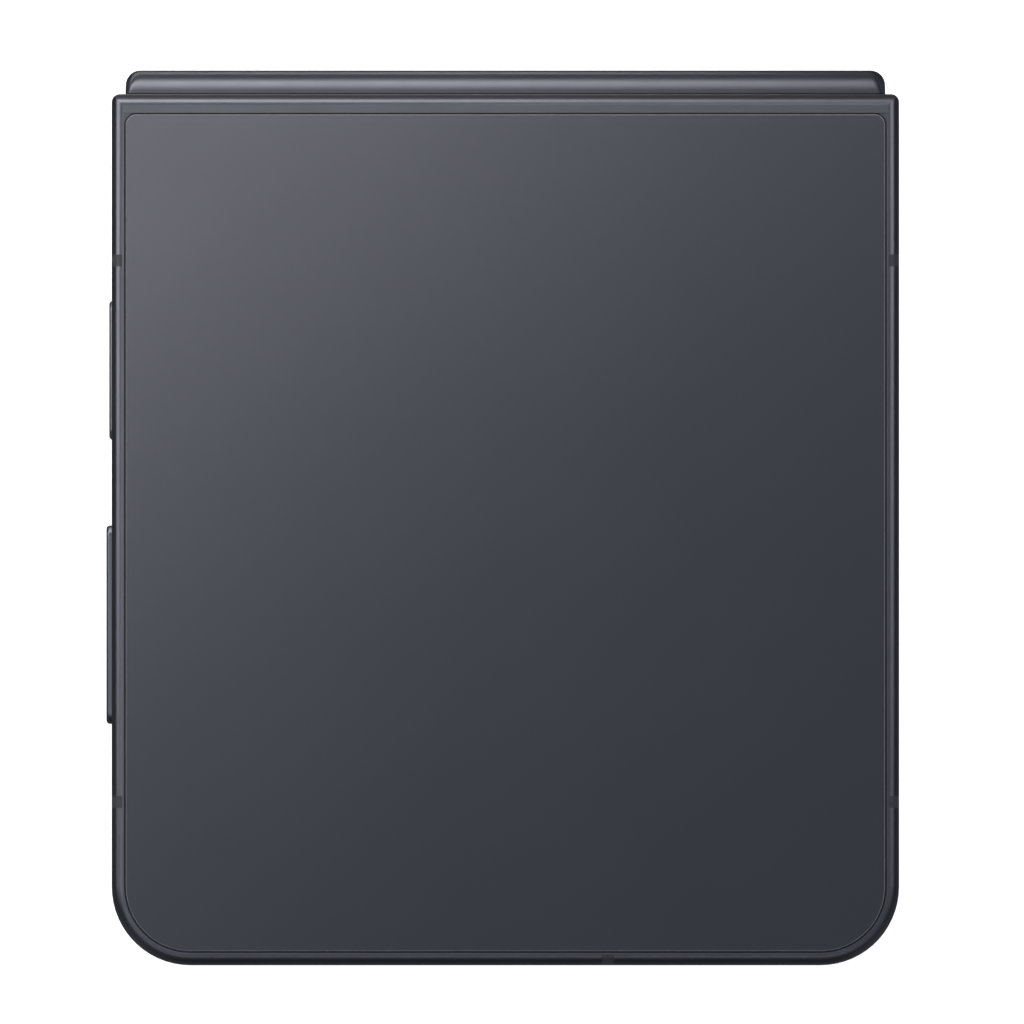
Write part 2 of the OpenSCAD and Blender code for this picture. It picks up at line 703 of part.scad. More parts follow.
module sub_board() color("darkgreen") on_plain()
    between(sub_board_h, sub_board_h + sub_board_t) difference() {
        union() {
            rounded(sub_board_x0, free_y + 5.6, sub_board_x1, battery_y0 - part_gap, [1, 1, 1, 1] * 0.6);
            rounded(mic_x - 4, in_y0, sub_board_x1, free_y + 7, [1, 1, 0, 0] * 0.6);
        }
        translate([-usb_w / 2 - usb_wall - 0.15, free_y])
            square([usb_w + 2 * usb_wall + 0.3, usb_depth + 1.4]);
    }

module usb_section(d) rounded(-usb_w / 2 - d, mid_half_h - usb_h / 2 - d, usb_w / 2 + d,
    mid_half_h + usb_h / 2 + d, [1, 1, 1, 1] * (usb_h / 2 + d - eps));

module usb_socket() color("silver") on_plain() {
    difference() {
        along_y(free_y + usb_inset, free_y + usb_depth + usb_back_t) usb_section(usb_wall);
        along_y(free_y - 1, free_y + usb_depth) usb_section(0);
    }
    along_y(free_y + 1.2, free_y + usb_depth + eps)
        rounded(-tongue_w / 2, mid_half_h - tongue_t / 2, tongue_w / 2, mid_half_h + tongue_t / 2,
            [1, 1, 1, 1] * 0.2);
    // solder tail onto the board
    translate([-3, free_y + usb_depth + usb_back_t - eps, sub_board_h + sub_board_t - 0.2])
        cube([6, 0.5, 0.2]);
}

module loudspeaker() color("gray") on_plain() between(1.2, in_h1)
    rounded(1 - in_x, in_y0, speaker_x1, battery_y0 - part_gap,
        [corner_r - rail_wall - 1.3, 1.2, 1.2, 1.2]);

module motor_case() color("silver") on_plain() difference() {
    block(motor_x0, motor_y0, motor_x1, motor_y1, motor_h0, in_h1, 0.5);
    translate([motor_x0 + motor_wall, motor_y0 + motor_wall, motor_h0 + motor_wall])
        cube([motor_len - 2 * motor_wall, motor_w - 2 * motor_wall, in_h1 - motor_h0 - 2 * motor_wall]);
}

module motor_mass() color("darkgray") on_plain() {
    side = motor_wall + seat_gap;
    block(motor_x0 + side + motor_travel, motor_y0 + side, motor_x1 - side - motor_travel,
        motor_y1 - side, motor_h0 + side, in_h1 - side, 0.3);
}

module microphone() color("gold") on_plain()
    block(mic_x - mic_w / 2, in_y0, mic_x + mic_w / 2, in_y0 + mic_len,
        sub_board_h + sub_board_t, sub_board_h + sub_board_t + 1, 0.2);

// ---------- hinge ----------

// Annular sector about a fold axis, between two angles from +Y towards the half's glass
module sector(r0, r1, a0, a1) {
    big = r1 * 2;
    mid = (a0 + a1) / 2;
    intersection() {
        difference() {
            circle(r1);
            circle(r0);
        }
        polygon([[0, 0], big * [cos(a0), sin(a0)], big * [cos(mid), sin(mid)],
            big * [cos(a1), sin(a1)]]);
    }
}

module rotator_section() {
    sector(rotator_r0, rotator_r1, rotator_start, 180);
    translate([axis_in - block_len + 0.35, -arm_t])
        square([block_len - axis_in - 0.35 - rotator_r0, 2 * arm_t]);
}

module rotators(up) difference() {
    for (s = [-1, 1])
        along_x(s * module_x - rotator_w / 2, s * module_x + rotator_w / 2) on_axis(up) rotator_section();
    translate([0, 0, up > 0 ? top_z : ring_proud]) mirror([0, 0, up > 0 ? 1 : 0]) screw_places()
        translate([0, 0, mid_h - 1]) {
            cylinder(r = screw_r + 0.05, h = half_t);
            translate([0, 0, 1 + mid_t - screw_head_t]) cylinder(r = screw_head_r + 0.05, h = 1);
        }
}
module cover_rotators() color("lightsteelblue") rotators(-1);
module plain_rotators() color("lightsteelblue") rotators(1);

module screws() screw_places() {
    translate([0, 0, mid_top_h - 3.4]) cylinder(r = screw_r - 0.02, h = 3.3);
    difference() {
        translate([0, 0, mid_top_h - screw_head_t + 0.01])
            cylinder(r = screw_head_r, h = screw_head_t - 0.03);
        translate([0, 0, mid_top_h - 0.14]) cylinder(r = 0.35, h = 1, $fn = 6);
    }
}
module cover_screws() color("black") on_cover() screws();
module plain_screws() color("black") on_plain() screws();

module magnets() magnet_places() between(mid_h, mid_top_h - 0.02) magnet_plan();
module cover_magnets() color("silver") on_cover() magnets();
module plain_magnets() color("silver") on_plain() magnets();

// Flat cable in each half, lying on the block and turning down through the slit
module half_flex() along_x(-flex_w / 2, flex_w / 2) {
    translate([hinge_y - block_len - 1, mid_top_h]) square([block_len + 1 - axis_in, flex_t]);
    translate([hinge_y - block_len - 1, mid_h - 0.08]) square([flex_t, mid_t + 0.09 + flex_t]);
}
module cover_flex() color("orange") on_cover() half_flex();
module plain_flex() color("orange") on_plain() half_flex();

// The bend of a layer round the middle of the fold, between two distances from the mid plane
module fold_bend(x, r0, r1) along_x(-x, x) translate([axis_y, z_mid]) sector_half(r0, r1);
module sector_half(r0, r1) intersection() {
    difference() {
        circle(r1);
        circle(r0);
    }
    translate([0, -r1]) square([r1, 2 * r1]);
}
fold_r0 = fold_gap / 2 + display_sink;
module display_fold() color("black") fold_bend(side_x - display_inset, fold_r0, fold_r0 + display_t);
module hinge_flex() color("orange")
    fold_bend(flex_w / 2, fold_r0 + display_t + plate_t - flex_t, fold_r0 + display_t + plate_t);

// Outline of the spine to a radius about both axes, with a flat back at y_back
module spine_outline(r, y_back) intersection() {
    union() {
        for (up = [-1, 1]) on_axis(up) circle(r);
        translate([axis_y, z_mid - axis_gap / 2]) square([r, axis_gap]);
    }
    translate([axis_y, z_mid - axis_gap / 2 - r - 1]) square([y_back, axis_gap + 2 * r + 2]);
}

// The spine cover: an arc about each axis, joined by the flat back
module spine_section() {
    for (up = [-1, 1]) on_axis(up) sector(spine_in_r, spine_r, 0, shell_end);
    translate([axis_y + spine_in_r, z_mid - axis_gap / 2]) square([spine_wall, axis_gap]);
}

module spine_plan() rounded(-spine_x, axis_y - 1, spine_x, axis_y + spine_r,
    [0, 0, spine_end_r, spine_end_r]);

end_cap_t = 0.8;
module display_room(x) along_x(-x, x) translate([axis_y - 1, z_mid])
    translate([0, -room_z]) square([1 + room_y, 2 * room_z]);
room_z = fold_r0 + display_t + plate_t + 0.12;
room_y = room_z;

tab_len = 3;
module tab_places() both_sides() for (x = [module_x + cheek_x + cheek_t,
    module_x - cheek_x - cheek_t - housing_len - tab_len]) translate([x + tab_len / 2, 0, 0]) children();

module spine_cover() color("dimgray") difference() {
    intersection() {
        along_x(-spine_x, spine_x) spine_section();
        between(0, top_z) spine_plan();
    }
    tab_places() translate([0, axis_y + spine_in_r - 1, z_mid]) rotate([-90, 0, 0])
        cylinder(r = screw_r, h = 1 + spine_wall * 0.7);
}

module spine_end_caps() color("dimgray") both_sides() intersection() {
    difference() {
        along_x(spine_x - end_cap_t, spine_x) spine_outline(spine_in_r - 0.02, spine_in_r - 0.02);
        display_room(side_x);
    }
    between(0, top_z) spine_plan();
}

module bracket_cheeks(x0, x1) difference() {
    along_x(x0, x1) spine_outline(spine_in_r - 0.05, spine_in_r);
    display_room(side_x);
}

module plunger_bores(r, x0, x1) for (up = [-1, 1])
    along_x(x0, x1) on_axis(up) rotate(plunger_turn) translate([plunger_at, 0]) circle(r);

bore_len = 4;
module hinge_brackets() color("lightslategray") both_sides() difference() {
    union() {
        bracket_cheeks(module_x + cheek_x, module_x + cheek_x + cheek_t);
        bracket_cheeks(module_x - cheek_x - cheek_t - housing_len, module_x - cheek_x);
        // ribs that the rotators turn on
        for (up = [-1, 1]) along_x(module_x - cheek_x - eps, module_x + cheek_x + eps)
            on_axis(up) sector(rib_r0, rotator_r0 - rotator_clear, 0, 92);
        // tabs that the screws hold to the spine cover
        tab_places() translate([-tab_len / 2 - eps, axis_y + spine_in_r - 0.6, z_mid - 1.2])
            cube([tab_len + 2 * eps, 0.6, 2.4]);
    }
    plunger_bores(plunger_r + 0.05, module_x - cheek_x - bore_len, module_x);
    tab_places() translate([0, axis_y, z_mid]) rotate([-90, 0, 0]) cylinder(r = screw_r + 0.05, h = 5);
}

module spine_screws() color("black") tab_places() translate([0, axis_y + spine_in_r - 0.6, z_mid])
    rotate([-90, 0, 0]) {
        cylinder(r = screw_r - 0.02, h = 0.6 + spine_wall * 0.6);
        difference() {
            translate([0, 0, -screw_head_t]) cylinder(r = screw_head_r, h = screw_head_t);
            translate([0, 0, -1 - screw_head_t / 2]) cylinder(r = 0.35, h = 1, $fn = 6);
        }
    }

plunger_x1 = module_x - rotator_w / 2 - 0.02;
module plungers() plunger_bores(plunger_r, plunger_x1 - plunger_len, plunger_x1);
module right_plungers() color("gold") plungers();
module left_plungers() color("gold") mirror([1, 0, 0]) plungers();

// Close-wound springs behind the plungers
spring_x0 = module_x - cheek_x - bore_len;
spring_x1 = plunger_x1 - plunger_len - plunger_travel - 0.02;
spring_coils = 9;
wire_r = (spring_x1 - spring_x0) / spring_coils / 1.8;
module detent_springs() color("silver") both_sides() for (up = [-1, 1])
    translate([spring_x0, axis_y + plunger_at * cos(plunger_turn),
        z_mid + up * (axis_gap / 2 + plunger_at * sin(plunger_turn))]) rotate([0, 90, 0])
        rotate_extrude() intersection() {
            for (i = [0:spring_coils - 1]) translate([plunger_r - wire_r, (i + 0.5) * wire_r * 1.8])
                circle(wire_r, $fn = 24);
            square([plunger_r, spring_x1 - spring_x0]);
        }

cover_frame();
cover_antenna_bands();
cover_glass();
cover_screen();
camera_rings();
camera_windows();
wide_camera();
wide_lens();
ultrawide_camera();
flash_lamp();
main_board();
board_shields();
cover_battery();
earpiece();
front_camera();
power_key();
volume_key();
key_switches();
sim_tray();
tray_gasket();
sim_socket();
cover_display();
cover_display_plate();
cover_bezel();
cover_rotators();
cover_screws();
cover_flex();
cover_magnets();
plain_frame();
plain_antenna_bands();
back_glass();
charging_coil();
main_battery();
sub_board();
usb_socket();
loudspeaker();
motor_case();
motor_mass();
microphone();
plain_display();
plain_display_plate();
plain_bezel();
fold_bumpers();
plain_rotators();
plain_screws();
plain_flex();
plain_magnets();
spine_cover();
spine_end_caps();
hinge_brackets();
spine_screws();
left_plungers();
right_plungers();
detent_springs();
display_fold();
hinge_flex();
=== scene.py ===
"""Finishes, glass, lenses, screens and small parts of a folding phone, laid over its CAD frame."""
import json
import math
import random

import bmesh
import bpy
from bpy.props import FloatProperty, FloatVectorProperty, IntProperty, PointerProperty
from mathutils import Matrix, Vector


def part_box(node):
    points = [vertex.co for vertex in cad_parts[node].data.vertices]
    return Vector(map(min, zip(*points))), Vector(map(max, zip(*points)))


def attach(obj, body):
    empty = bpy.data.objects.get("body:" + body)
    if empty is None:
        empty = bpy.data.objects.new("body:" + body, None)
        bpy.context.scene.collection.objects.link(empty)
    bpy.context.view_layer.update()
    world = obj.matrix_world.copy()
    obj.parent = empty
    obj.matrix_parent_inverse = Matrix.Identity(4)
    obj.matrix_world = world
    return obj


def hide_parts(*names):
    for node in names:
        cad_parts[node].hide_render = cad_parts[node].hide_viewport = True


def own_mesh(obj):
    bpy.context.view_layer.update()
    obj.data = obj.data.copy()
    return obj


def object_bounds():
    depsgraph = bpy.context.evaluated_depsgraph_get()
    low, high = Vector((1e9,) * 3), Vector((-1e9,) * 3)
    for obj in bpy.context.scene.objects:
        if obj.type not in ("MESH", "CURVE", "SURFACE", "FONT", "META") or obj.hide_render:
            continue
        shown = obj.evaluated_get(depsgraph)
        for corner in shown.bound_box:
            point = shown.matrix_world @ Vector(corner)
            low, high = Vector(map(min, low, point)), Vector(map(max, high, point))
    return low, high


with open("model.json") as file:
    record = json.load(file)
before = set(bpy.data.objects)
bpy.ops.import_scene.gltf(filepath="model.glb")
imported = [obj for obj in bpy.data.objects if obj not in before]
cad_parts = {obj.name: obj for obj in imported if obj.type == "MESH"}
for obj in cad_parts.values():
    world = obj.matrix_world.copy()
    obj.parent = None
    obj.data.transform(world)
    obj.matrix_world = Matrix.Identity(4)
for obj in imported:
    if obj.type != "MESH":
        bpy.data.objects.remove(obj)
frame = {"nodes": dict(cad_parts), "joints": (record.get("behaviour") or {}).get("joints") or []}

bl_info = {
    "name": "Folding Phone Finishes",
    "version": (1, 0, 0),
    "blender": (4, 5, 0),
    "location": "View3D > Sidebar > Phone",
    "description": "Dresses the CAD frame of a clamshell folding phone",
    "category": "Object",
}

MM = 0.001
CAD_BOX = [list(corner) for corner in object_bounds()]
NODES = frame["nodes"]

# corner radii of both glass panels, counter-clockwise from the free edge's left corner
FREE_RADIUS = 6.2 * MM
HINGE_RADIUS = 1.05 * MM
GLASS_RADII = [FREE_RADIUS, FREE_RADIUS, HINGE_RADIUS, HINGE_RADIUS]

CAMERA_PIECES = ["camera_rings", "camera_window_glass", "lens_hoods", "wide_front_lens",
                 "ultrawide_front_lens", "flash_lens_disc"]
# satin and glossy panels that the softboxes would show as hard bright fields
SCREENS = ["back_glass_panel", "cover_glass_panel", "cover_print", "cover_screen", "cover_display",
           "plain_display", "display_fold_strip"]


# ---------- places taken from the frame ----------

def middle_of(box):
    """Centre of a (low, high) box."""
    return (box[0] + box[1]) / 2


def middle(node):
    """Centre of a CAD node's box."""
    return middle_of(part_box(node))


def solid_boxes(node):
    """Boxes of a node's separate solids, in the order of their X, Y and Z."""
    shape = bmesh.new()
    shape.from_mesh(NODES[node].data)
    bmesh.ops.remove_doubles(shape, verts=shape.verts, dist=1e-7)
    boxes = []
    left = set(shape.verts)
    while left:
        group = [left.pop()]
        for vert in group:
            for edge in vert.link_edges:
                other = edge.other_vert(vert)
                if other in left:
                    left.remove(other)
                    group.append(other)
        low = Vector([min(vert.co[i] for vert in group) for i in range(3)])
        high = Vector([max(vert.co[i] for vert in group) for i in range(3)])
        boxes.append((low, high))
    shape.free()
    return sorted(boxes, key=lambda box: [round(place, 5) for place in box[0]])


def fold_axis(name):
    """A point on a fold axis."""
    return next(Vector(joint["pos_m"]) for joint in frame["joints"] if joint["name"] == name)


# ---------- settings ----------

def size(name, description, millimetres):
    """A length, given in millimetres."""
    return FloatProperty(name=name, description=description, default=millimetres * MM,
                         min=0.0, unit="LENGTH", subtype="DISTANCE", precision=5)


def tint(name, description, color):
    """A colour in linear light."""
    return FloatVectorProperty(name=name, description=description, default=color,
                               min=0.0, max=1.0, subtype="COLOR")


def share(name, description, default):
    """A value from 0 to 1."""
    return FloatProperty(name=name, description=description, default=default,
                         min=0.0, max=1.0, subtype="FACTOR")


def amount(name, description, default):
    """A plain number that isn't below 0."""
    return FloatProperty(name=name, description=description, default=default, min=0.0)


class PhoneMetalSettings(bpy.types.PropertyGroup):
    """Anodised and plated metals"""
    frame_color: tint("Frame", "Anodised colour of the rails", (0.158, 0.162, 0.186))
    spine_color: tint("Spine", "Anodised colour of the spine", (0.158, 0.162, 0.186))
    key_color: tint("Keys", "Anodised colour of the keys", (0.22, 0.225, 0.245))
    spine_wall: size("Spine wall", "Thickness of the spine's wall", 0.6)
    spine_end: size("Spine end", "Rounding of the spine's ends at its back", 1.4)
    spine_top_end: size("Spine top end", "Rounding of the spine's ends at its top and bottom", 0.45)
    spine_step: size("Spine step", "How far the part inside the halves is set back", 0.3)
    spine_gap: size("Spine gap", "Width of the dark joint between the spine and the frame", 0.09)
    band_color: tint("Antenna breaks", "Plastic in the antenna breaks", (0.045, 0.046, 0.055))
    frame_roughness: share("Blasting", "Roughness of the anodised metal", 0.3)
    grain: size("Grain", "Size of the blasted grain", 0.06)
    key_edge: size("Key edge", "Rounding of the keys' edges", 0.32)


class PhoneGlassSettings(bpy.types.PropertyGroup):
    """Outer glass panels"""
    back_color: tint("Back film", "Film behind the plain back glass", (0.118, 0.120, 0.140))
    back_roughness: share("Back etch", "Roughness of the satin back glass", 0.23)
    edge: size("Edge", "Rounding of the glass edges", 0.07)
    joint: size("Joint", "How far the back glass is ground back from its place in the frame", 0.055)
    edge_color: tint("Ground edge", "Bare ground glass round the back film", (0.3, 0.31, 0.34))
    seal_depth: size("Seal depth", "How far the black seal lies below the glass", 0.2)
    ink: size("Ink", "Thickness of the black print behind the cover glass", 0.02)
    screen_border: size("Border", "Black border round the outer screen", 1.6)


class PhoneCameraSettings(bpy.types.PropertyGroup):
    """Cameras and flash"""
    ring_color: tint("Rings", "Turned metal of the camera rings", (0.13, 0.135, 0.155))
    coating_a: tint("Inner coating", "Reflection in the middle of a lens", (0.05, 0.10, 0.30))
    coating_b: tint("Outer coating", "Reflection round a lens", (0.16, 0.04, 0.20))
    ribs: IntProperty(name="Flash ribs", description="Rings of the flash lens", default=5, min=2, max=8)


class PhoneDisplaySettings(bpy.types.PropertyGroup):
    """Folding display and its rim"""
    glass_color: tint("Display", "Unlit folding display", (0.006, 0.006, 0.008))
    rim_color: tint("Rim", "Soft rim round the display", (0.018, 0.018, 0.021))
    crease: share("Crease", "How far the fold stays sunk when the phone is open", 0.05)


class PhoneInsideSettings(bpy.types.PropertyGroup):
    """Pieces inside the halves"""
    seed: IntProperty(name="Seed", description="Seed of the parts laid out on the boards", default=7)
    coil_turns: IntProperty(name="Coil turns", description="Turns of the charging coil", default=12,
                            min=4, max=24)
    pouch_edge: size("Pouch edge", "Rounding of the battery pouches", 0.8)
    part_pitch: size("Part pitch", "Room for each part or group of parts on a board", 3.2)
    contact: size("Contact", "Width of a charging contact", 0.25)
    speaker_holes: IntProperty(name="Speaker holes", description="Holes of the loudspeaker", default=6,
                               min=1, max=12)
    speaker_pitch: size("Speaker pitch", "Distance between the loudspeaker's holes", 2.1)
    speaker_end: size("Speaker end", "From the last hole to the loudspeaker's end", 3.7)


class PhoneStageSettings(bpy.types.PropertyGroup):
    """Floor, lights and camera"""
    lens: FloatProperty(name="Lens", description="Focal length of the camera, in millimetres",
                        default=1500.0, min=50.0)
    frame_width: size("Frame width", "Width of the picture at the top of the phone", 97.77)
    aim_x: FloatProperty(name="Aim X", description="Where the camera points across the phone",
                         default=0.63 * MM, unit="LENGTH")
    aim_y: FloatProperty(name="Aim Y", description="Where the camera points along the phone",
                         default=0.536 * MM, unit="LENGTH")
    canopy_height: size("Canopy height", "Height of the soft canopy over the phone", 280)
    canopy_low: amount("Canopy low", "Light of the canopy's dim corner", 0.231)
    canopy_high: amount("Canopy high", "Light that the canopy adds where it is brightest", 1.68)
    canopy_from: size("Canopy from", "Distance from the middle to the most added light", 56.7)
    canopy_fall: size("Canopy fall", "Distance in which the added light falls to about a third", 22.8)
    canopy_turn: FloatProperty(name="Canopy turn",
                               description="Where the added light grows, from +Y towards -X",
                               default=math.radians(41.4), subtype="ANGLE")
    left_light: amount("Left", "Light of the left softbox", 2.6)
    back_light: amount("Back", "Light of the softbox beyond the spine", 2.2)
    right_light: amount("Right", "Light of the right softbox", 1.4)
    front_light: amount("Front", "Light of the softbox over the free edge", 1.9)
    horizon_light: amount("Horizon", "Light of the low softbox that the spine faces", 2.7)
    rim_light: amount("Rim", "Light from below the spine", 1.75)
    world_light: amount("World", "Light from all round", 1.0)
    corner_light: amount("Corners", "Low light from the four diagonals, which shows the side walls", 0.1)
    floor_light: amount("Floor", "Glow of the floor", 0.93)
    camera_light: amount("Cameras", "Light from below that only the cameras reflect", 4.0)
    under_light: amount("Underside", "Soft light from below that only the cover side reflects", 0.8)


# ---------- shapes ----------

# steps of a rounded edge, and radius below which a turned part comes to a point
EDGE_STEPS = 5
POINT_RADIUS = 1e-7


def rounded_outline(low, high, radii, steps=16):
    """Rectangle with its own radius at each corner, counter-clockwise from the lowest corner."""
    points = []
    places = [(low[0], low[1]), (high[0], low[1]), (high[0], high[1]), (low[0], high[1])]
    for i, (x, y) in enumerate(places):
        r = radii[i]
        centre_x = x + r if i in (0, 3) else x - r
        centre_y = y + r if i in (0, 1) else y - r
        points += arc(centre_x, centre_y, r, math.pi + i * math.pi / 2, math.pi / 2, steps)
    return points


def arc(x, y, radius, start, angle, steps):
    """Points along an arc about (x, y), both ends included."""
    points = []
    for k in range(steps + 1):
        turn = start + angle * k / steps
        points.append((x + radius * math.cos(turn), y + radius * math.sin(turn)))
    return points


def circle_outline(x, y, radius, steps=72):
    """Circle as points, counter-clockwise."""
    return arc(x, y, radius, 0, 2 * math.pi, steps)[:-1]


def inset(low, high, radii, distance):
    """The rounded rectangle that lies a distance inside another, as (low, high, radii)."""
    least_radius = 0.02 * MM
    return ((low[0] + distance, low[1] + distance), (high[0] - distance, high[1] - distance),
            [max(r - distance, least_radius) for r in radii])


def plate_rings(low, high, radii, levels):
    """Rings of points round a rounded plate, each (inset, height) of the levels giving one."""
    return [[(x, y, height) for x, y in rounded_outline(*inset(low, high, radii, distance))]
            for distance, height in levels]


def quarter_turns(steps):
    """Angles from 0 to a right angle."""
    return [math.pi / 2 * k / steps for k in range(steps + 1)]


class Shape:
    """Faces of one piece, in metres in the phone's frame."""

    def __init__(self):
        self.mesh = bmesh.new()

    def stack(self, rings, material=0):
        """Skin over a stack of rings with as many points each, closed at both ends."""
        loops = [[self.mesh.verts.new(point) for point in ring] for ring in rings]
        faces = []
        for lower, upper in zip(loops, loops[1:]):
            count = len(lower)
            for i in range(count):
                j = (i + 1) % count
                faces.append(self.mesh.faces.new((lower[i], lower[j], upper[j], upper[i])))
        faces.append(self.mesh.faces.new(list(reversed(loops[0]))))
        faces.append(self.mesh.faces.new(loops[-1]))
        for face in faces:
            face.material_index = material
        return self

    def hoop(self, rings):
        """Skin over rings of as many points each, the last of which joins the first."""
        loops = [[self.mesh.verts.new(point) for point in ring] for ring in rings]
        for lower, upper in zip(loops, loops[1:] + loops[:1]):
            for i in range(len(lower)):
                j = (i + 1) % len(lower)
                self.mesh.faces.new((lower[i], lower[j], upper[j], upper[i]))
        return self

    def slab(self, low, high, radii, z0, z1, edge=0.0, edge_low=0.0):
        """Rounded plate between two heights, with rounded upper and lower edges."""
        turns = quarter_turns(EDGE_STEPS)
        levels = [(0.0, z0)]
        if edge_low:
            levels = [(edge_low * (1 - math.sin(turn)), z0 + edge_low * (1 - math.cos(turn)))
                      for turn in turns]
        if edge:
            levels += [(edge * (1 - math.cos(turn)), z1 - edge * (1 - math.sin(turn))) for turn in turns]
        else:
            levels.append((0.0, z1))
        return self.stack(plate_rings(low, high, radii, levels))

    def turned(self, profile, centre, steps=72, material=0):
        """Turned part: profile is (radius, height) from one end round to the other."""
        rings = []
        for radius, height in profile:
            if radius < POINT_RADIUS:
                rings.append([self.mesh.verts.new((centre[0], centre[1], height))])
            else:
                rings.append([self.mesh.verts.new((x, y, height))
                              for x, y in circle_outline(centre[0], centre[1], radius, steps)])
        for first, second in zip(rings, rings[1:]):
            for i in range(steps):
                j = (i + 1) % steps
                corners = [first[i % len(first)], first[j % len(first)],
                           second[j % len(second)], second[i % len(second)]]
                unique = list(dict.fromkeys(corners))
                if len(unique) > 2:
                    self.mesh.faces.new(unique).material_index = material
        return self

    def box(self, low, high, material=0):
        """Block, for contacts, leads and the parts on a board."""
        return self.stack([[(low[0], low[1], z), (high[0], low[1], z), (high[0], high[1], z),
                            (low[0], high[1], z)] for z in (low[2], high[2])], material)

    def along_x(self):
        """Turns what was built upright so that its Z lies along -X: (x, y, z) to (-z, y, x)."""
        self.mesh.transform(Matrix(((0, 0, -1, 0), (0, 1, 0, 0), (1, 0, 0, 0), (0, 0, 0, 1))))
        return self

    def along_y(self):
        """Turns what was built upright so that its Z lies along -Y: (x, y, z) to (x, -z, y)."""
        self.mesh.transform(Matrix(((1, 0, 0, 0), (0, 0, -1, 0), (0, 1, 0, 0), (0, 0, 0, 1))))
        return self

    def piece(self, name, body, slot, *materials, replaces=(), smooth=35.0, bevel=0.0):
        """Makes the piece, which rides on a body."""
        bmesh.ops.remove_doubles(self.mesh, verts=self.mesh.verts, dist=1e-8)
        bmesh.ops.recalc_face_normals(self.mesh, faces=self.mesh.faces)
        mesh = bpy.data.meshes.new(name)
        self.mesh.to_mesh(mesh)
        self.mesh.free()
        return finish_piece(mesh, name, body, materials, replaces, smooth, bevel)


def finish_piece(mesh, name, body, materials, replaces=(), smooth=35.0, bevel=0.0):
    """Puts a mesh in the scene as a piece that rides on a body."""
    for material in materials:
        mesh.materials.append(material)
    mesh.polygons.foreach_set("use_smooth", [True] * len(mesh.polygons))
    mesh.set_sharp_from_angle(angle=math.radians(smooth))
    thing = bpy.data.objects.new(name, mesh)
    bpy.context.scene.collection.objects.link(thing)
    if bevel:
        rounding = thing.modifiers.new("soft_edges", "BEVEL")
        rounding.width = bevel
        rounding.segments = 2
        rounding.limit_method = "ANGLE"
        rounding.harden_normals = True
    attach(thing, body)
    if replaces:
        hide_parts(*replaces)
    return thing


def plate(name, outlines, z0, z1, body, material, edge=0.0, replaces=()):
    """Flat plate with holes: the first outline is its edge and the others are its openings."""
    curve = bpy.data.curves.new(name, "CURVE")
    curve.dimensions = "2D"
    curve.fill_mode = "BOTH"
    curve.extrude = (z1 - z0) / 2 - edge
    curve.bevel_depth = edge
    curve.bevel_resolution = 3
    curve.offset = -edge
    for outline in outlines:
        spline = curve.splines.new("POLY")
        spline.points.add(len(outline) - 1)
        for point, (x, y) in zip(spline.points, outline):
            point.co = (x, y, 0, 1)
        spline.use_cyclic_u = True
    holder = bpy.data.objects.new(name + ".outline", curve)
    bpy.context.scene.collection.objects.link(holder)
    bpy.context.view_layer.update()
    mesh = bpy.data.meshes.new_from_object(holder.evaluated_get(bpy.context.evaluated_depsgraph_get()))
    bpy.data.objects.remove(holder)
    bpy.data.curves.remove(curve)
    mesh.transform(Matrix.Translation((0, 0, (z0 + z1) / 2)))
    mesh.materials.clear()
    return finish_piece(mesh, name, body, [material], replaces)


def wire(name, lines, radius, body, material, replaces=()):
    """Round wires along lists of points."""
    curve = bpy.data.curves.new(name, "CURVE")
    curve.dimensions = "3D"
    curve.bevel_depth = radius
    curve.bevel_resolution = 3
    curve.use_fill_caps = True
    for line in lines:
        spline = curve.splines.new("POLY")
        spline.points.add(len(line) - 1)
        for point, place in zip(spline.points, line):
            point.co = (*place, 1)
    curve.materials.append(material)
    thing = bpy.data.objects.new(name, curve)
    bpy.context.scene.collection.objects.link(thing)
    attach(thing, body)
    if replaces:
        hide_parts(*replaces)
    return thing


# ---------- finishes ----------

# most of a noise texture's values lie between these two
NOISE_LOW = 0.3
NOISE_HIGH = 0.7


class Tree:
    """The node tree of a material or a world."""

    def __init__(self, owner):
        owner.use_nodes = True
        self.nodes = owner.node_tree.nodes
        self.links = owner.node_tree.links

    def add(self, kind, inputs=None, **settings):
        """A node with its settings, and its inputs given as values or as other nodes' outputs."""
        node = self.nodes.new(kind)
        for name, value in settings.items():
            setattr(node, name, value)
        for name, value in (inputs or {}).items():
            if isinstance(value, bpy.types.NodeSocket):
                self.links.new(value, node.inputs[name])
            else:
                node.inputs[name].default_value = value
        return node

    def math(self, operation, *values):
        """A calculation with numbers or other nodes' outputs."""
        return self.add("ShaderNodeMath", dict(enumerate(values)), operation=operation).outputs[0]

    def ramp(self, factor, stops):
        """A colour ramp with a stop at each (position, colour)."""
        node = self.add("ShaderNodeValToRGB", {"Fac": factor})
        elements = node.color_ramp.elements
        while len(elements) < len(stops):
            elements.new(0.5)
        for element, (position, color) in zip(elements, stops):
            element.position = position
            element.color = (*color, 1)
        return node.outputs[0]


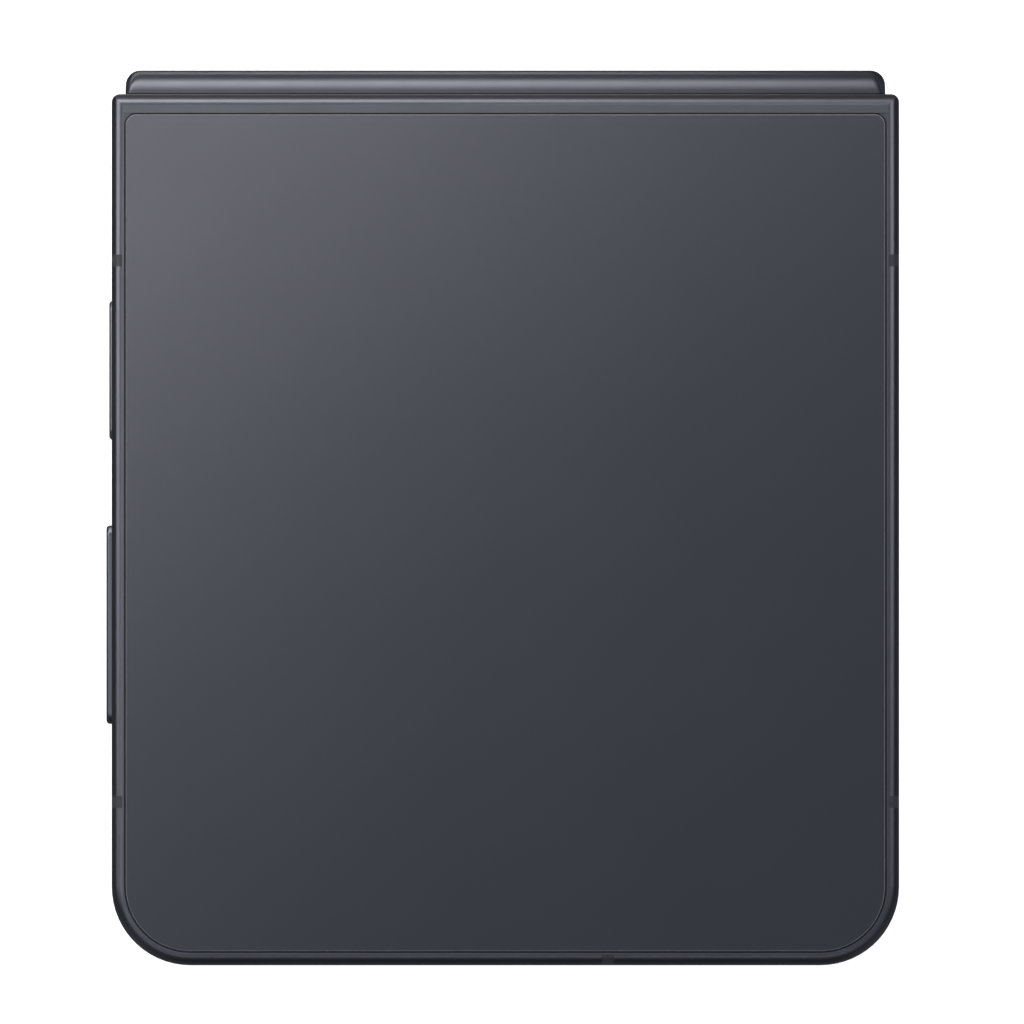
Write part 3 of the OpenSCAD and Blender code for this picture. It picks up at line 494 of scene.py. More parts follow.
class Finish(Tree):
    """A procedural material: one Principled shader and the textures wired into it."""

    def __init__(self, name, color, metallic=0.0, roughness=0.5, sockets=None):
        self.material = bpy.data.materials.new(name)
        super().__init__(self.material)
        self.shader = self.nodes["Principled BSDF"]
        self.color = color
        self.roughness = roughness
        values = {"Base Color": (*color, 1.0), "Metallic": metallic, "Roughness": roughness}
        values.update(sockets or {})
        for socket, value in values.items():
            self.shader.inputs[socket].default_value = value
        self.place = self.nodes.new("ShaderNodeTexCoord").outputs["Object"]
        self.normal = None

    def noise(self, grain, detail=2.0, stretch=(1.0, 1.0, 1.0)):
        """Grey noise with blotches about as large as grain, drawn out where stretch is below 1."""
        scaled = self.add("ShaderNodeMapping",
                          {"Vector": self.place, "Scale": [s / grain for s in stretch]})
        return self.add("ShaderNodeTexNoise", {"Vector": scaled.outputs[0], "Scale": 1.0,
                                               "Detail": detail}).outputs[0]

    def vary_color(self, factor, spread=0.1):
        """Runs the colour between a darker and a lighter shade."""
        dark = [c * (1 - spread) for c in self.color]
        light = [min(1.0, c * (1 + spread)) for c in self.color]
        shades = self.ramp(factor, [(NOISE_LOW, dark), (NOISE_HIGH, light)])
        self.links.new(shades, self.shader.inputs["Base Color"])
        return self

    def vary_roughness(self, factor, spread=0.05):
        """Runs the roughness a little up and down."""
        ranged = self.add("ShaderNodeMapRange", {"Value": factor, "From Min": NOISE_LOW,
                                                 "From Max": NOISE_HIGH,
                                                 "To Min": max(0.0, self.roughness - spread),
                                                 "To Max": min(1.0, self.roughness + spread)})
        self.links.new(ranged.outputs[0], self.shader.inputs["Roughness"])
        return self

    def bump(self, factor, height):
        """Raises the surface by up to a height where the factor is high."""
        inputs = {"Height": factor, "Distance": height, "Strength": 1.0}
        if self.normal:
            inputs["Normal"] = self.normal
        self.normal = self.add("ShaderNodeBump", inputs).outputs[0]
        self.links.new(self.normal, self.shader.inputs["Normal"])
        return self


def blasted_metal(name, color, roughness, grain):
    """Anodised aluminium with a fine blasted grain, a fifteenth as deep as it is wide."""
    finish = Finish(name, color, 1.0, roughness)
    finish.vary_color(finish.noise(9 * MM, 3.0), 0.035)
    finish.vary_roughness(finish.noise(3 * MM, 4.0), 0.02)
    return finish.bump(finish.noise(grain, 3.0), grain / 15)


def plain_plastic(name, color, roughness, grain=0.15 * MM, height=0.004 * MM):
    """Moulded plastic with a fine spark-eroded texture."""
    finish = Finish(name, color, 0.0, roughness)
    finish.vary_color(finish.noise(4 * MM, 3.0), 0.08)
    finish.vary_roughness(finish.noise(1.5 * MM, 3.0), 0.05)
    return finish.bump(finish.noise(grain, 2.0), height)


def rolled_metal(name, color, roughness, stretch=(0.05, 1.0, 1.0), lines=0.12 * MM, height=0.002 * MM):
    """Rolled or drawn metal with lines along one direction."""
    finish = Finish(name, color, 1.0, roughness)
    streaks = finish.noise(lines, 4.0, stretch)
    finish.vary_color(finish.noise(5 * MM, 2.0), 0.08)
    finish.vary_roughness(streaks, 0.08)
    return finish.bump(streaks, height)


def glossy_black(name, color, roughness=0.06, sockets=None):
    """Polished dark plastic or coated glass with faint ripples."""
    finish = Finish(name, color, 0.0, roughness, sockets)
    finish.vary_roughness(finish.noise(6 * MM, 2.0), 0.015)
    return finish.bump(finish.noise(14 * MM, 1.0), 0.002 * MM)


def clear_glass(name, color=(0.96, 0.98, 1.0)):
    """Clear glass with a faint tint."""
    finish = Finish(name, color, 0.0, 0.02, {"Transmission Weight": 1.0, "IOR": 1.5})
    return finish.vary_roughness(finish.noise(8 * MM, 2.0), 0.008)


def paint(finish, *nodes):
    """Gives a finish to CAD nodes."""
    for node in nodes:
        NODES[node].data.materials.clear()
        NODES[node].data.materials.append(finish.material)


# ---------- operators ----------

class PHONE_OT_frames(bpy.types.Operator):
    """Anodises both frames and fills their antenna breaks"""
    bl_idname = "phone.frames"
    bl_label = "Frames"

    def execute(self, context):
        metal = context.scene.phone_metal
        paint(blasted_metal("frame_anodised", metal.frame_color, metal.frame_roughness, metal.grain),
              "cover_frame", "plain_frame")
        paint(plain_plastic("antenna_inlay", metal.band_color, 0.42), "cover_antenna_bands",
              "plain_antenna_bands")
        return {"FINISHED"}


class PHONE_OT_back_glass(bpy.types.Operator):
    """Makes the plain back glass with its rounded edge and satin film"""
    bl_idname = "phone.back_glass"
    bl_label = "Back glass"

    def execute(self, context):
        glass = context.scene.phone_glass
        finish = Finish("back_satin_glass", glass.back_color, 0.85, glass.back_roughness,
                        {"Coat Weight": 0.6, "Coat Roughness": 0.12, "Coat IOR": 1.5})
        finish.vary_color(finish.noise(30 * MM, 2.0), 0.02)
        finish.vary_roughness(finish.noise(12 * MM, 3.0), 0.012)
        finish.bump(finish.noise(0.05 * MM, 2.0), 0.0006 * MM)
        ground = Finish("ground_glass_edge", glass.edge_color, 0.0, 0.45)
        ground.vary_roughness(ground.noise(0.3 * MM), 0.05)
        low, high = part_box("back_glass")
        inner = glass.joint + glass.edge
        Shape().slab(*inset(low, high, GLASS_RADII, inner), low.z, high.z).piece(
            "back_glass_panel", "plain_half", "back_glass", finish.material, replaces=["back_glass"])
        # up the outside of the ground edge and over to the flat panel
        levels = [(inner, low.z), (glass.joint, low.z)]
        levels += [(inner - glass.edge * math.cos(turn), high.z - glass.edge * (1 - math.sin(turn)))
                   for turn in quarter_turns(EDGE_STEPS)]
        Shape().hoop(plate_rings(low, high, GLASS_RADII, levels)).piece(
            "back_glass_edge", "plain_half", "back_glass", ground.material)
        seal("back_glass_seal", "back_glass", low.z, high.z - glass.seal_depth, "plain_half")
        return {"FINISHED"}


def seal(name, node, z0, z1, body):
    """Black bead of glue in the joint between a glass and its frame."""
    low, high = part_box(node)
    inner_gap = 0.01 * MM
    outer_gap = 0.09 * MM
    outline = rounded_outline(*inset(low, high, GLASS_RADII, -outer_gap))
    hole = rounded_outline(*inset(low, high, GLASS_RADII, -inner_gap))
    glue = plain_plastic(name + "_glue", (0.004, 0.004, 0.005), 0.6, 0.1 * MM, 0.002 * MM)
    plate(name, [outline, hole], z0, z1, body, glue.material)


class PHONE_OT_cover_glass(bpy.types.Operator):
    """Makes the cover glass, the black print behind it, the outer screen and the flash window"""
    bl_idname = "phone.cover_glass"
    bl_label = "Cover glass and outer screen"

    def execute(self, context):
        glass = context.scene.phone_glass
        # how far the rings and the flash lamp reach past their holes, and the print's step back
        ring_lap = 0.6 * MM
        flash_lap = 0.2 * MM
        print_inset = 0.1 * MM
        screen_radius = 2.2 * MM
        low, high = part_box("cover_glass")
        holes = []
        for ring_low, ring_high in solid_boxes("camera_rings"):
            centre = (ring_low + ring_high) / 2
            radius = (ring_high.x - ring_low.x) / 2 - ring_lap
            holes.append(circle_outline(centre.x, centre.y, radius))
        outline = rounded_outline(low, high, GLASS_RADII)
        ink_z = high.z - glass.ink
        plate("cover_glass_panel", [outline] + holes, low.z, ink_z, "cover_half",
              clear_glass("cover_clear_glass").material, glass.edge, ["cover_glass"])
        screen_low, screen_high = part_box("cover_screen")
        border = glass.screen_border
        window = rounded_outline((screen_low.x + border, screen_low.y + border),
                                 (screen_high.x - border, screen_high.y - border), [screen_radius] * 4)
        edge_outline = rounded_outline(*inset(low, high, GLASS_RADII, print_inset))
        flash_low, flash_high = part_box("flash_lamp")
        flash = (flash_low + flash_high) / 2
        flash_hole = circle_outline(flash.x, flash.y, (flash_high.x - flash_low.x) / 2 - flash_lap)
        plate("cover_print", [edge_outline, window, flash_hole] + holes, ink_z, high.z, "cover_half",
              glossy_black("black_print", (0.004, 0.004, 0.005), 0.35).material)
        paint(glossy_black("outer_screen_off", (0.006, 0.007, 0.011), 0.12), "cover_screen")
        seal("cover_glass_seal", "cover_glass", low.z + glass.seal_depth, high.z, "cover_half")
        return {"FINISHED"}


class PHONE_OT_cameras(bpy.types.Operator):
    """Turns the camera rings and builds the windows, hoods, lenses and flash"""
    bl_idname = "phone.cameras"
    bl_label = "Cameras and flash"

    def execute(self, context):
        camera = context.scene.phone_camera
        windows = solid_boxes("camera_windows")
        self.rings(camera)
        self.windows(windows)
        self.hoods(windows)
        self.lenses(camera, windows)
        self.flash(camera)
        body = plain_plastic("camera_housing", (0.02, 0.02, 0.022), 0.5)
        paint(body, "wide_camera", "ultrawide_camera", "front_camera")
        paint(glossy_black("lens_barrel_black", (0.012, 0.012, 0.014), 0.28), "wide_lens")
        return {"FINISHED"}

    def rings(self, camera):
        """Fine turning lines round each ring, folded about the line between the two."""
        line_pitch = 0.9 * MM
        finish = Finish("ring_turned", camera.ring_color, 1.0, 0.26)
        first, second = [middle_of(box) for box in solid_boxes("camera_rings")]
        split = finish.add("ShaderNodeSeparateXYZ", {"Vector": finish.place})
        between = (first.x + second.x) / 2
        folded = finish.math("ABSOLUTE", finish.math("SUBTRACT", split.outputs[0], between))
        across = finish.math("SUBTRACT", folded, (second.x - first.x) / 2)
        along = finish.math("SUBTRACT", split.outputs[1], first.y)
        joined = finish.add("ShaderNodeCombineXYZ", {0: across, 1: along})
        turning = finish.add("ShaderNodeTexWave", {"Vector": joined.outputs[0], "Scale": 1 / line_pitch},
                             wave_type="RINGS", rings_direction="Z")
        finish.vary_color(finish.noise(2 * MM), 0.04)
        finish.bump(turning.outputs[1], 0.0008 * MM)
        paint(finish, "camera_rings")

    def windows(self, windows):
        """Round windows, bevelled on the outside."""
        edge = 0.08 * MM
        shape = Shape()
        for low, high in windows:
            radius = (high.x - low.x) / 2
            shape.turned([(0, low.z), (radius - edge, low.z), (radius, low.z + edge),
                          (radius, high.z), (0, high.z)], (low + high) / 2)
        glass = clear_glass("window_glass", (0.9, 0.93, 0.97))
        shape.piece("camera_window_glass", "cover_half", "lens_glass", glass.material,
                    replaces=["camera_windows"])

    def hoods(self, windows):
        """Stepped black hoods between the windows and the lenses."""
        outer = 3.62 * MM
        mouths = (2.5 * MM, 1.9 * MM)
        clear = 0.01 * MM
        depth = 0.24 * MM
        steps = 3
        bevel_out, bevel_up, riser = 0.06 * MM, 0.03 * MM, 0.08 * MM
        shape = Shape()
        for (low, high), mouth in zip(windows, mouths):
            top = high.z + clear
            profile = [(outer, top)]
            for k in range(steps):
                radius = outer + (mouth - outer) * (k + 1) / steps
                height = top + depth * k / steps
                profile += [(radius + bevel_out, height), (radius, height + bevel_up),
                            (radius, height + riser)]
            profile += [(outer, top + depth), (outer, top)]
            shape.turned(profile, (low + high) / 2)
        black = plain_plastic("hood_black", (0.006, 0.006, 0.007), 0.45)
        shape.piece("lens_hoods", "cover_half", "camera_body", black.material, smooth=20)

    def lenses(self, camera, windows):
        """Domed front lenses in their mouths: the wide one rides on its focusing barrel."""
        wide, ultrawide = [middle_of(box) for box in windows]
        # name, body, centre, radius, front face of the barrel
        mouths = [("wide_front_lens", "focus_lens", wide, 2.05 * MM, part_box("wide_lens")[0].z),
                  ("ultrawide_front_lens", "cover_half", ultrawide, 1.55 * MM,
                   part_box("ultrawide_camera")[0].z)]
        trim = Finish("lens_trim", (0.10, 0.10, 0.115), 1.0, 0.22)
        trim.vary_roughness(trim.noise(0.3 * MM), 0.05)
        for name, body, centre, radius, face in mouths:
            shape = Shape().turned(self.dome(radius, face), centre)
            shape.turned(self.trim_ring(radius, face), centre, material=1)
            shape.piece(name, body, "lens_barrel", self.coated(name + "_glass", centre, radius, camera),
                        trim.material)

    def dome(self, radius, face):
        """Profile of a lens whose middle stands proud of the barrel's face."""
        proud, sunk, flat = 0.1 * MM, 0.36 * MM, 0.02 * MM
        steps = 14
        front = face - proud
        rim = face + sunk
        rise = rim - front
        curve = (radius ** 2 + rise ** 2) / (2 * rise)
        profile = [(0, rim + flat), (radius, rim + flat), (radius, rim)]
        for k in range(steps + 1):
            r = radius * (1 - k / steps)
            profile.append((r, front + curve - math.sqrt(curve ** 2 - r ** 2)))
        return profile

    def trim_ring(self, radius, face):
        """Profile of the bevelled metal ring round a lens."""
        inner, outer = radius + 0.07 * MM, radius + 0.36 * MM
        crown = face - 0.1 * MM
        shoulder = face - 0.06 * MM
        bevel = 0.05 * MM
        return [(inner, face), (inner, shoulder), (inner + bevel, crown), (outer - bevel, crown),
                (outer, shoulder), (outer, face), (inner, face)]

    def coated(self, name, centre, radius, camera):
        """Lens glass whose coating changes colour from its middle outwards."""
        glass = Finish(name, camera.coating_a, 0.8, 0.04, {"Coat Weight": 1.0, "Coat Roughness": 0.02})
        flat = glass.add("ShaderNodeMapping",
                         {"Vector": glass.place, "Location": [-centre.x, -centre.y, 0],
                          "Scale": [1, 1, 0]})
        out = glass.add("ShaderNodeVectorMath", {0: flat.outputs[0]}, operation="LENGTH")
        part = glass.add("ShaderNodeMapRange", {"Value": out.outputs["Value"], "From Max": radius})
        # an entrance pupil, then the coating's colours
        stops = [(0.0, (0.002, 0.002, 0.004)), (0.3, (0.004, 0.004, 0.008)), (0.38, camera.coating_a),
                 (0.7, camera.coating_b), (1.0, (0.02, 0.02, 0.035))]
        glass.links.new(glass.ramp(part.outputs[0], stops), glass.shader.inputs["Base Color"])
        glass.vary_roughness(glass.noise(1 * MM), 0.01)
        return glass.material

    def flash(self, camera):
        """Ribbed flash window in the print's opening, and the lamp behind it."""
        lap, thick, rib = 0.22 * MM, 0.02 * MM, 0.012 * MM
        low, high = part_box("flash_lamp")
        radius = (high.x - low.x) / 2 - lap
        top = low.z
        base = top - thick
        lamp = Finish("flash_lens", (0.85, 0.78, 0.55), 0.0, 0.2,
                      {"Subsurface Weight": 0.2, "Coat Weight": 1.0, "Coat Roughness": 0.05})
        lamp.vary_color(lamp.noise(0.4 * MM), 0.06)
        profile = [(0, top), (radius, top), (radius, base)]
        for k in range(camera.ribs):
            r = radius * (1 - (k + 0.5) / camera.ribs)
            profile += [(r + 0.3 * radius / camera.ribs, base), (r, base + rib)]
        profile.append((0, base))
        Shape().turned(profile, (low + high) / 2).piece("flash_lens_disc", "cover_half", "lamp",
                                                        lamp.material)
        phosphor = Finish("flash_phosphor", (0.75, 0.62, 0.22), 0.0, 0.6)
        phosphor.vary_color(phosphor.noise(0.2 * MM), 0.12)
        paint(phosphor, "flash_lamp")


class PHONE_OT_keys(bpy.types.Operator):
    """Makes the power and volume keys with rounded edges, and their switches"""
    bl_idname = "phone.keys"
    bl_label = "Keys"

    def execute(self, context):
        metal = context.scene.phone_metal
        light = blasted_metal("power_anodised", metal.key_color, 0.34, metal.grain)
        dark = blasted_metal("volume_anodised", metal.frame_color, metal.frame_roughness, metal.grain)
        for node, finish in (("power_key", light), ("volume_key", dark)):
            self.key(node, finish, metal.key_edge)
        paint(rolled_metal("switch_dome", (0.55, 0.55, 0.57), 0.3), "key_switches")
        return {"FINISHED"}

    def key(self, node, finish, edge):
        """A capsule with a rounded face, on the flange that keeps it in the rail."""
        low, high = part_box(node)
        half = 1.0 * MM
        flange = 0.6 * MM
        flange_radius = 0.4 * MM
        flange_from, flange_to = 0.12 * MM, 0.47 * MM
        z = (low.z + high.z) / 2
        back = high.x - flange_to
        shape = Shape()
        # built upright with X as its height, then turned on its side
        shape.slab((z - half, low.y + flange), (z + half, high.y - flange), [0.99 * half] * 4,
                   -back, -low.x, edge)
        shape.slab((low.z, low.y), (high.z, high.y), [flange_radius] * 4, -high.x + flange_from, -back)
        shape.along_x()
        shape.piece(node + "_cap", node, "key_metal", finish.material, replaces=[node])


class PHONE_OT_card_tray(bpy.types.Operator):
    """Finishes the card tray, its gasket and its socket"""
    bl_idname = "phone.card_tray"
    bl_label = "Card tray"

    def execute(self, context):
        metal = context.scene.phone_metal
        paint(blasted_metal("tray_anodised", metal.frame_color, metal.frame_roughness, metal.grain),
              "sim_tray")
        paint(plain_plastic("gasket_silicone", (0.02, 0.02, 0.022), 0.65), "tray_gasket")
        paint(rolled_metal("socket_can", (0.58, 0.58, 0.6), 0.3, (1.0, 0.05, 1.0)), "sim_socket")
        return {"FINISHED"}


class PHONE_OT_ports(bpy.types.Operator):
    """Builds the charging socket's tongue and contacts, and the speaker and microphone meshes"""
    bl_idname = "phone.ports"
    bl_label = "Charging socket, speaker and microphones"

    def execute(self, context):
        inside = context.scene.phone_inside
        paint(rolled_metal("socket_shell", (0.5, 0.5, 0.52), 0.28, (0.05, 1.0, 1.0)), "usb_socket")
        self.tongue(inside)
        self.meshes(inside)
        return {"FINISHED"}

    def tongue(self, inside):
        """Black tongue with twelve gold contacts on each face."""
        half_width, half_thick = 3.42 * MM, 0.40 * MM
        tongue_from, tongue_to = 0.85 * MM, 5.9 * MM
        corner, edge = 0.25 * MM, 0.12 * MM
        count, pitch = 12, 0.5 * MM
        contact_from, contact_to, raised = 0.35 * MM, 1.2 * MM, 0.015 * MM
        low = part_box("usb_socket")[0]
        z = middle("usb_socket").z
        front = low.y + tongue_from
        back = low.y + tongue_to
        shape = Shape()
        shape.slab((-half_width, z - half_thick), (half_width, z + half_thick), [corner] * 4,
                   -back, -front, edge)
        shape.along_y()
        shape.piece("socket_tongue", "plain_half", "socket_steel",
                    plain_plastic("tongue_black", (0.015, 0.015, 0.016), 0.45).material)
        gold = rolled_metal("contact_gold", (0.75, 0.52, 0.2), 0.25)
        contacts = Shape()
        for side in (-1, 1):
            face = z + side * half_thick
            for i in range(count):
                x = (i - (count - 1) / 2) * pitch
                contacts.box((x - inside.contact / 2, front + contact_from, face - raised),
                             (x + inside.contact / 2, back - contact_to, face + raised))
        contacts.piece("socket_contacts", "plain_half", "socket_steel", gold.material)

    def meshes(self, inside):
        """Woven discs sunk in the speaker and microphone holes."""
        weave = 0.5 * MM
        sunk = 0.9 * MM
        speaker_radius, microphone_radius = 0.53 * MM, 0.38 * MM
        finish = Finish("woven_mesh", (0.01, 0.01, 0.011), 0.6, 0.5)
        for direction in ("X", "Z"):
            wave = finish.add("ShaderNodeTexWave", {"Vector": finish.place, "Scale": 1 / weave},
                              bands_direction=direction)
            finish.bump(wave.outputs[1], 0.02 * MM)
        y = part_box("plain_frame")[0].y + sunk
        z = middle("usb_socket").z
        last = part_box("loudspeaker")[1].x - inside.speaker_end
        shape = Shape()
        for i in range(inside.speaker_holes):
            self.disc(shape, last - inside.speaker_pitch * i, y, z, speaker_radius)
        self.disc(shape, middle("microphone").x, y, z, microphone_radius)
        shape.along_y()
        shape.piece("speaker_and_microphone_mesh", "plain_half", "speaker_body", finish.material)
        upper = Shape()
        self.disc(upper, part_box("cover_frame")[0].x / 2, y, middle("power_key").z, microphone_radius)
        upper.along_y()
        upper.piece("upper_microphone_mesh", "cover_half", "speaker_body", finish.material)

    def disc(self, shape, x, y, z, radius):
        """A thin disc across a hole, built upright before it is turned along Y."""
        thick = 0.1 * MM
        steps = 24
        shape.turned([(0, -y), (radius, -y), (radius, -y - thick), (0, -y - thick)], (x, z), steps)


class PHONE_OT_folding_display(bpy.types.Operator):
    """Finishes the folding display, its rim and bumpers, and lays the strip over the fold"""
    bl_idname = "phone.folding_display"
    bl_label = "Folding display"

    def execute(self, context):
        display = context.scene.phone_display
        finish = glossy_black("display_off", display.glass_color, 0.08,
                              {"Coat Weight": 1.0, "Coat Roughness": 0.04})
        paint(finish, "cover_display", "plain_display")
        paint(rolled_metal("display_backing", (0.4, 0.4, 0.41), 0.35, (1.0, 0.05, 1.0)),
              "cover_display_plate", "plain_display_plate")
        paint(plain_plastic("soft_rim", display.rim_color, 0.5, 0.1 * MM), "cover_bezel", "plain_bezel")
        paint(plain_plastic("bumper_rubber", (0.03, 0.03, 0.033), 0.6), "fold_bumpers")
        self.fold(display, finish)
        self.front_lens()
        return {"FINISHED"}

    def fold(self, display, finish):
        """The bent strip at rest."""
        steps = 24
        lead = 0.1 * MM
        low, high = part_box("display_fold")
        z_mid = (low.z + high.z) / 2
        front_y, back_y = low.y, low.y + lead
        half_gap = (fold_axis("fold_plain").z - fold_axis("fold_spine").z) / 2
        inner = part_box("plain_display")[0].z - z_mid
        outer = (high.z - low.z) / 2
        front = [(front_y, z_mid - half_gap)]
        front += arc(front_y, z_mid, inner, -math.pi / 2, math.pi, steps)
        front.append((front_y, z_mid + half_gap))
        back = [(back_y, z_mid - half_gap), (back_y, z_mid - outer)]
        for k in range(steps + 1):
            turn = -math.pi / 2 + math.pi * k / steps
            back.append((back_y + (outer - lead) * math.cos(turn), z_mid + outer * math.sin(turn)))
        back += [(back_y, z_mid + outer), (back_y, z_mid + half_gap)]
        section = front + back[::-1]
        rings = [[(x, y, z) for y, z in section] for x in (-high.x, 0.0, high.x)]
        strip = Shape().stack(rings).piece("display_fold_strip", "spine", "inner_display", finish.material,
                                           replaces=["display_fold"], smooth=50)
        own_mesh(strip)

    def front_lens(self):
        """Domed window of the front camera."""
        radius, rise, thick, sunk = 1.1 * MM, 0.12 * MM, 0.18 * MM, 0.02 * MM
        steps = 6
        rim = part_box("front_camera")[1].z - sunk
        profile = [(0, rim - thick), (radius, rim - thick), (radius, rim)]
        for k in range(steps + 1):
            r = radius * (1 - k / steps)
            profile.append((r, rim + rise * (1 - (r / radius) ** 2)))
        finish = Finish("front_lens_glass", (0.004, 0.004, 0.008), 0.0, 0.03, {"Coat Weight": 1.0})
        finish.vary_roughness(finish.noise(1 * MM), 0.01)
        Shape().turned(profile, middle("front_camera"), 48).piece("front_lens_window", "cover_half",
                                                                  "camera_body", finish.material)


class PHONE_OT_spine(bpy.types.Operator):
    """Makes the spine with its softly rounded ends"""
    bl_idname = "phone.spine"
    bl_label = "Spine"

    def execute(self, context):
        metal = context.scene.phone_metal
        end_steps = 9
        low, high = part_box("spine_cover")
        upper, lower = fold_axis("fold_plain"), fold_axis("fold_spine")
        radius = high.y - upper.y
        wall = self.wall(upper, lower, radius, metal)
        inner_shell = [self.point(axis, turn, radius - metal.spine_wall) for axis, turn, step in wall]
        inner_cap = self.cap(inner_shell, upper, lower)
        rings = []
        for turn in quarter_turns(end_steps):
            depth = metal.spine_end * (1 - math.cos(turn))
            rings.append((depth, self.outer(wall, radius, depth, metal), inner_cap))
        rings.append((metal.spine_end, rings[-1][1], inner_shell))
        near = [[(low.x + depth, y, z) for y, z in outer + inner[::-1]] for depth, outer, inner in rings]
        far = [[(high.x - depth, y, z) for y, z in outer + inner[::-1]] for depth, outer, inner in rings]
        finish = blasted_metal("spine_anodised", metal.spine_color, metal.frame_roughness, metal.grain)
        Shape().stack(near + far[::-1]).piece("spine_housing", "spine", "spine_metal", finish.material,
                                              replaces=["spine_cover", "spine_end_caps"])
        return {"FINISHED"}

    def wall(self, upper, lower, radius, metal):
        """The section's points as (fold axis, turn from +Y, set-back), from its top round to below.

        The part that always lies inside the halves is set back, for a dark joint beside the frame.
        """
        hidden_steps, visible_steps = 4, 20
        top = math.radians(82)
        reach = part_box("plain_frame")[1].y - upper.y + metal.spine_gap
        visible = math.acos(reach / radius)
        turns = [(top + (visible - top) * k / hidden_steps, metal.spine_step)
                 for k in range(hidden_steps + 1)]
        turns += [(visible * (1 - k / visible_steps), 0.0) for k in range(visible_steps + 1)]
        return ([(upper, turn, step) for turn, step in turns]
                + [(lower, -turn, step) for turn, step in reversed(turns)])

    def cap(self, shell, upper, lower):
        """The inner outline of an end cap, drawn in as far as the display's fold allows."""
        clear = 0.3 * MM
        low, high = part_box("display_fold")
        room = (high.z - low.z) / 2 + clear
        z_mid = (upper.z + lower.z) / 2
        return [(min(y, upper.y + room), max(z_mid - room, min(z_mid + room, z))) for y, z in shell]

    def point(self, axis, turn, radius):
        """A point (y, z) at a radius about a fold axis, turned up from +Y."""
        return (axis.y + radius * math.cos(turn), axis.z + radius * math.sin(turn))

    def outer(self, wall, radius, depth, metal):
        """The outer face at a depth from the end: well rounded at the back, less on top and below."""
        back_until, top_from = 20, 75
        points = []
        for axis, turn, step in wall:
            up = (abs(math.degrees(turn)) - back_until) / (top_from - back_until)
            up = min(1.0, max(0.0, up))
            blend = up * up * (3 - 2 * up)
            end = metal.spine_end + (metal.spine_top_end - metal.spine_end) * blend
            left = max(0.0, end - depth)
            rounded = math.sqrt(end * end - left * left)
            points.append(self.point(axis, turn, radius - step - end + rounded))
        return points


class PHONE_OT_hinge(bpy.types.Operator):
    """Finishes the hinge brackets, rotators, plungers, springs, screws and flat cables"""
    bl_idname = "phone.hinge"
    bl_label = "Hinge"

    def execute(self, context):
        paint(rolled_metal("hinge_machined", (0.42, 0.42, 0.44), 0.32), "hinge_brackets",
              "cover_rotators", "plain_rotators")
        paint(rolled_metal("screw_black", (0.06, 0.06, 0.065), 0.35), "cover_screws", "plain_screws",
              "spine_screws")
        paint(rolled_metal("plunger_polished", (0.6, 0.58, 0.5), 0.2), "left_plungers", "right_plungers")
        paint(rolled_metal("magnet_plated", (0.6, 0.6, 0.6), 0.2), "cover_magnets", "plain_magnets")
        film = plain_plastic("flat_cable", (0.32, 0.13, 0.02), 0.35)
        paint(film, "cover_flex", "plain_flex", "hinge_flex")
        self.springs()
        return {"FINISHED"}

    def springs(self):
        """Coils behind the plungers, of a wire a fifth as thick as the coil."""
        turns, steps = 6, 16
        springs = solid_boxes("detent_springs")
        half = (springs[0][1].z - springs[0][0].z) / 2
        thin = 0.2 * half
        coil = half - thin
        lines = []
        for low, high in springs:
            centre = (low + high) / 2
            length = high.x - low.x - 2 * thin
            line = []
            for k in range(turns * steps + 1):
                turn = 2 * math.pi * k / steps
                x = low.x + thin + length * k / (turns * steps)
                line.append((x, centre.y + coil * math.cos(turn), centre.z + coil * math.sin(turn)))
            lines.append(line)
        steel = rolled_metal("spring_wire", (0.55, 0.55, 0.56), 0.25)
        wire("detent_spring_coils", lines, thin, "spine", steel.material,
             ["detent_springs"])


class PHONE_OT_batteries(bpy.types.Operator):
    """Makes both battery pouches and their pull tapes"""
    bl_idname = "phone.batteries"
    bl_label = "Batteries"

    def execute(self, context):
        inside = context.scene.phone_inside
        pouch = Finish("battery_wrap", (0.035, 0.035, 0.038), 0.3, 0.4)
        pouch.vary_color(pouch.noise(6 * MM, 3.0), 0.1)
        pouch.bump(pouch.noise(3 * MM, 3.0), 0.03 * MM)
        tape = plain_plastic("battery_tape", (0.62, 0.62, 0.58), 0.4)
        pouch_corner = 1.2 * MM
        tape_inset, tape_half, tape_corner = 2 * MM, 3 * MM, 0.6 * MM
        tape_thick, tape_edge = 0.05 * MM, 0.02 * MM
        for node, body, up in (("main_battery", "plain_half", True),
                               ("cover_battery", "cover_half", False)):
            low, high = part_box(node)
            Shape().slab(low, high, [pouch_corner] * 4, low.z, high.z, inside.pouch_edge,
                         inside.pouch_edge).piece(node + "_pouch", body, "battery_pouch", pouch.material,
                                                  replaces=[node])
            foot = high.z if up else low.z - tape_thick
            tapes = Shape()
            for part in (0.25, 0.75):
                y = low.y + (high.y - low.y) * part
                tapes.slab((low.x + tape_inset, y - tape_half), (high.x - tape_inset, y + tape_half),
                           [tape_corner] * 4, foot, foot + tape_thick, tape_edge)
            tapes.piece(node + "_tapes", body, "battery_pouch", tape.material)
        return {"FINISHED"}


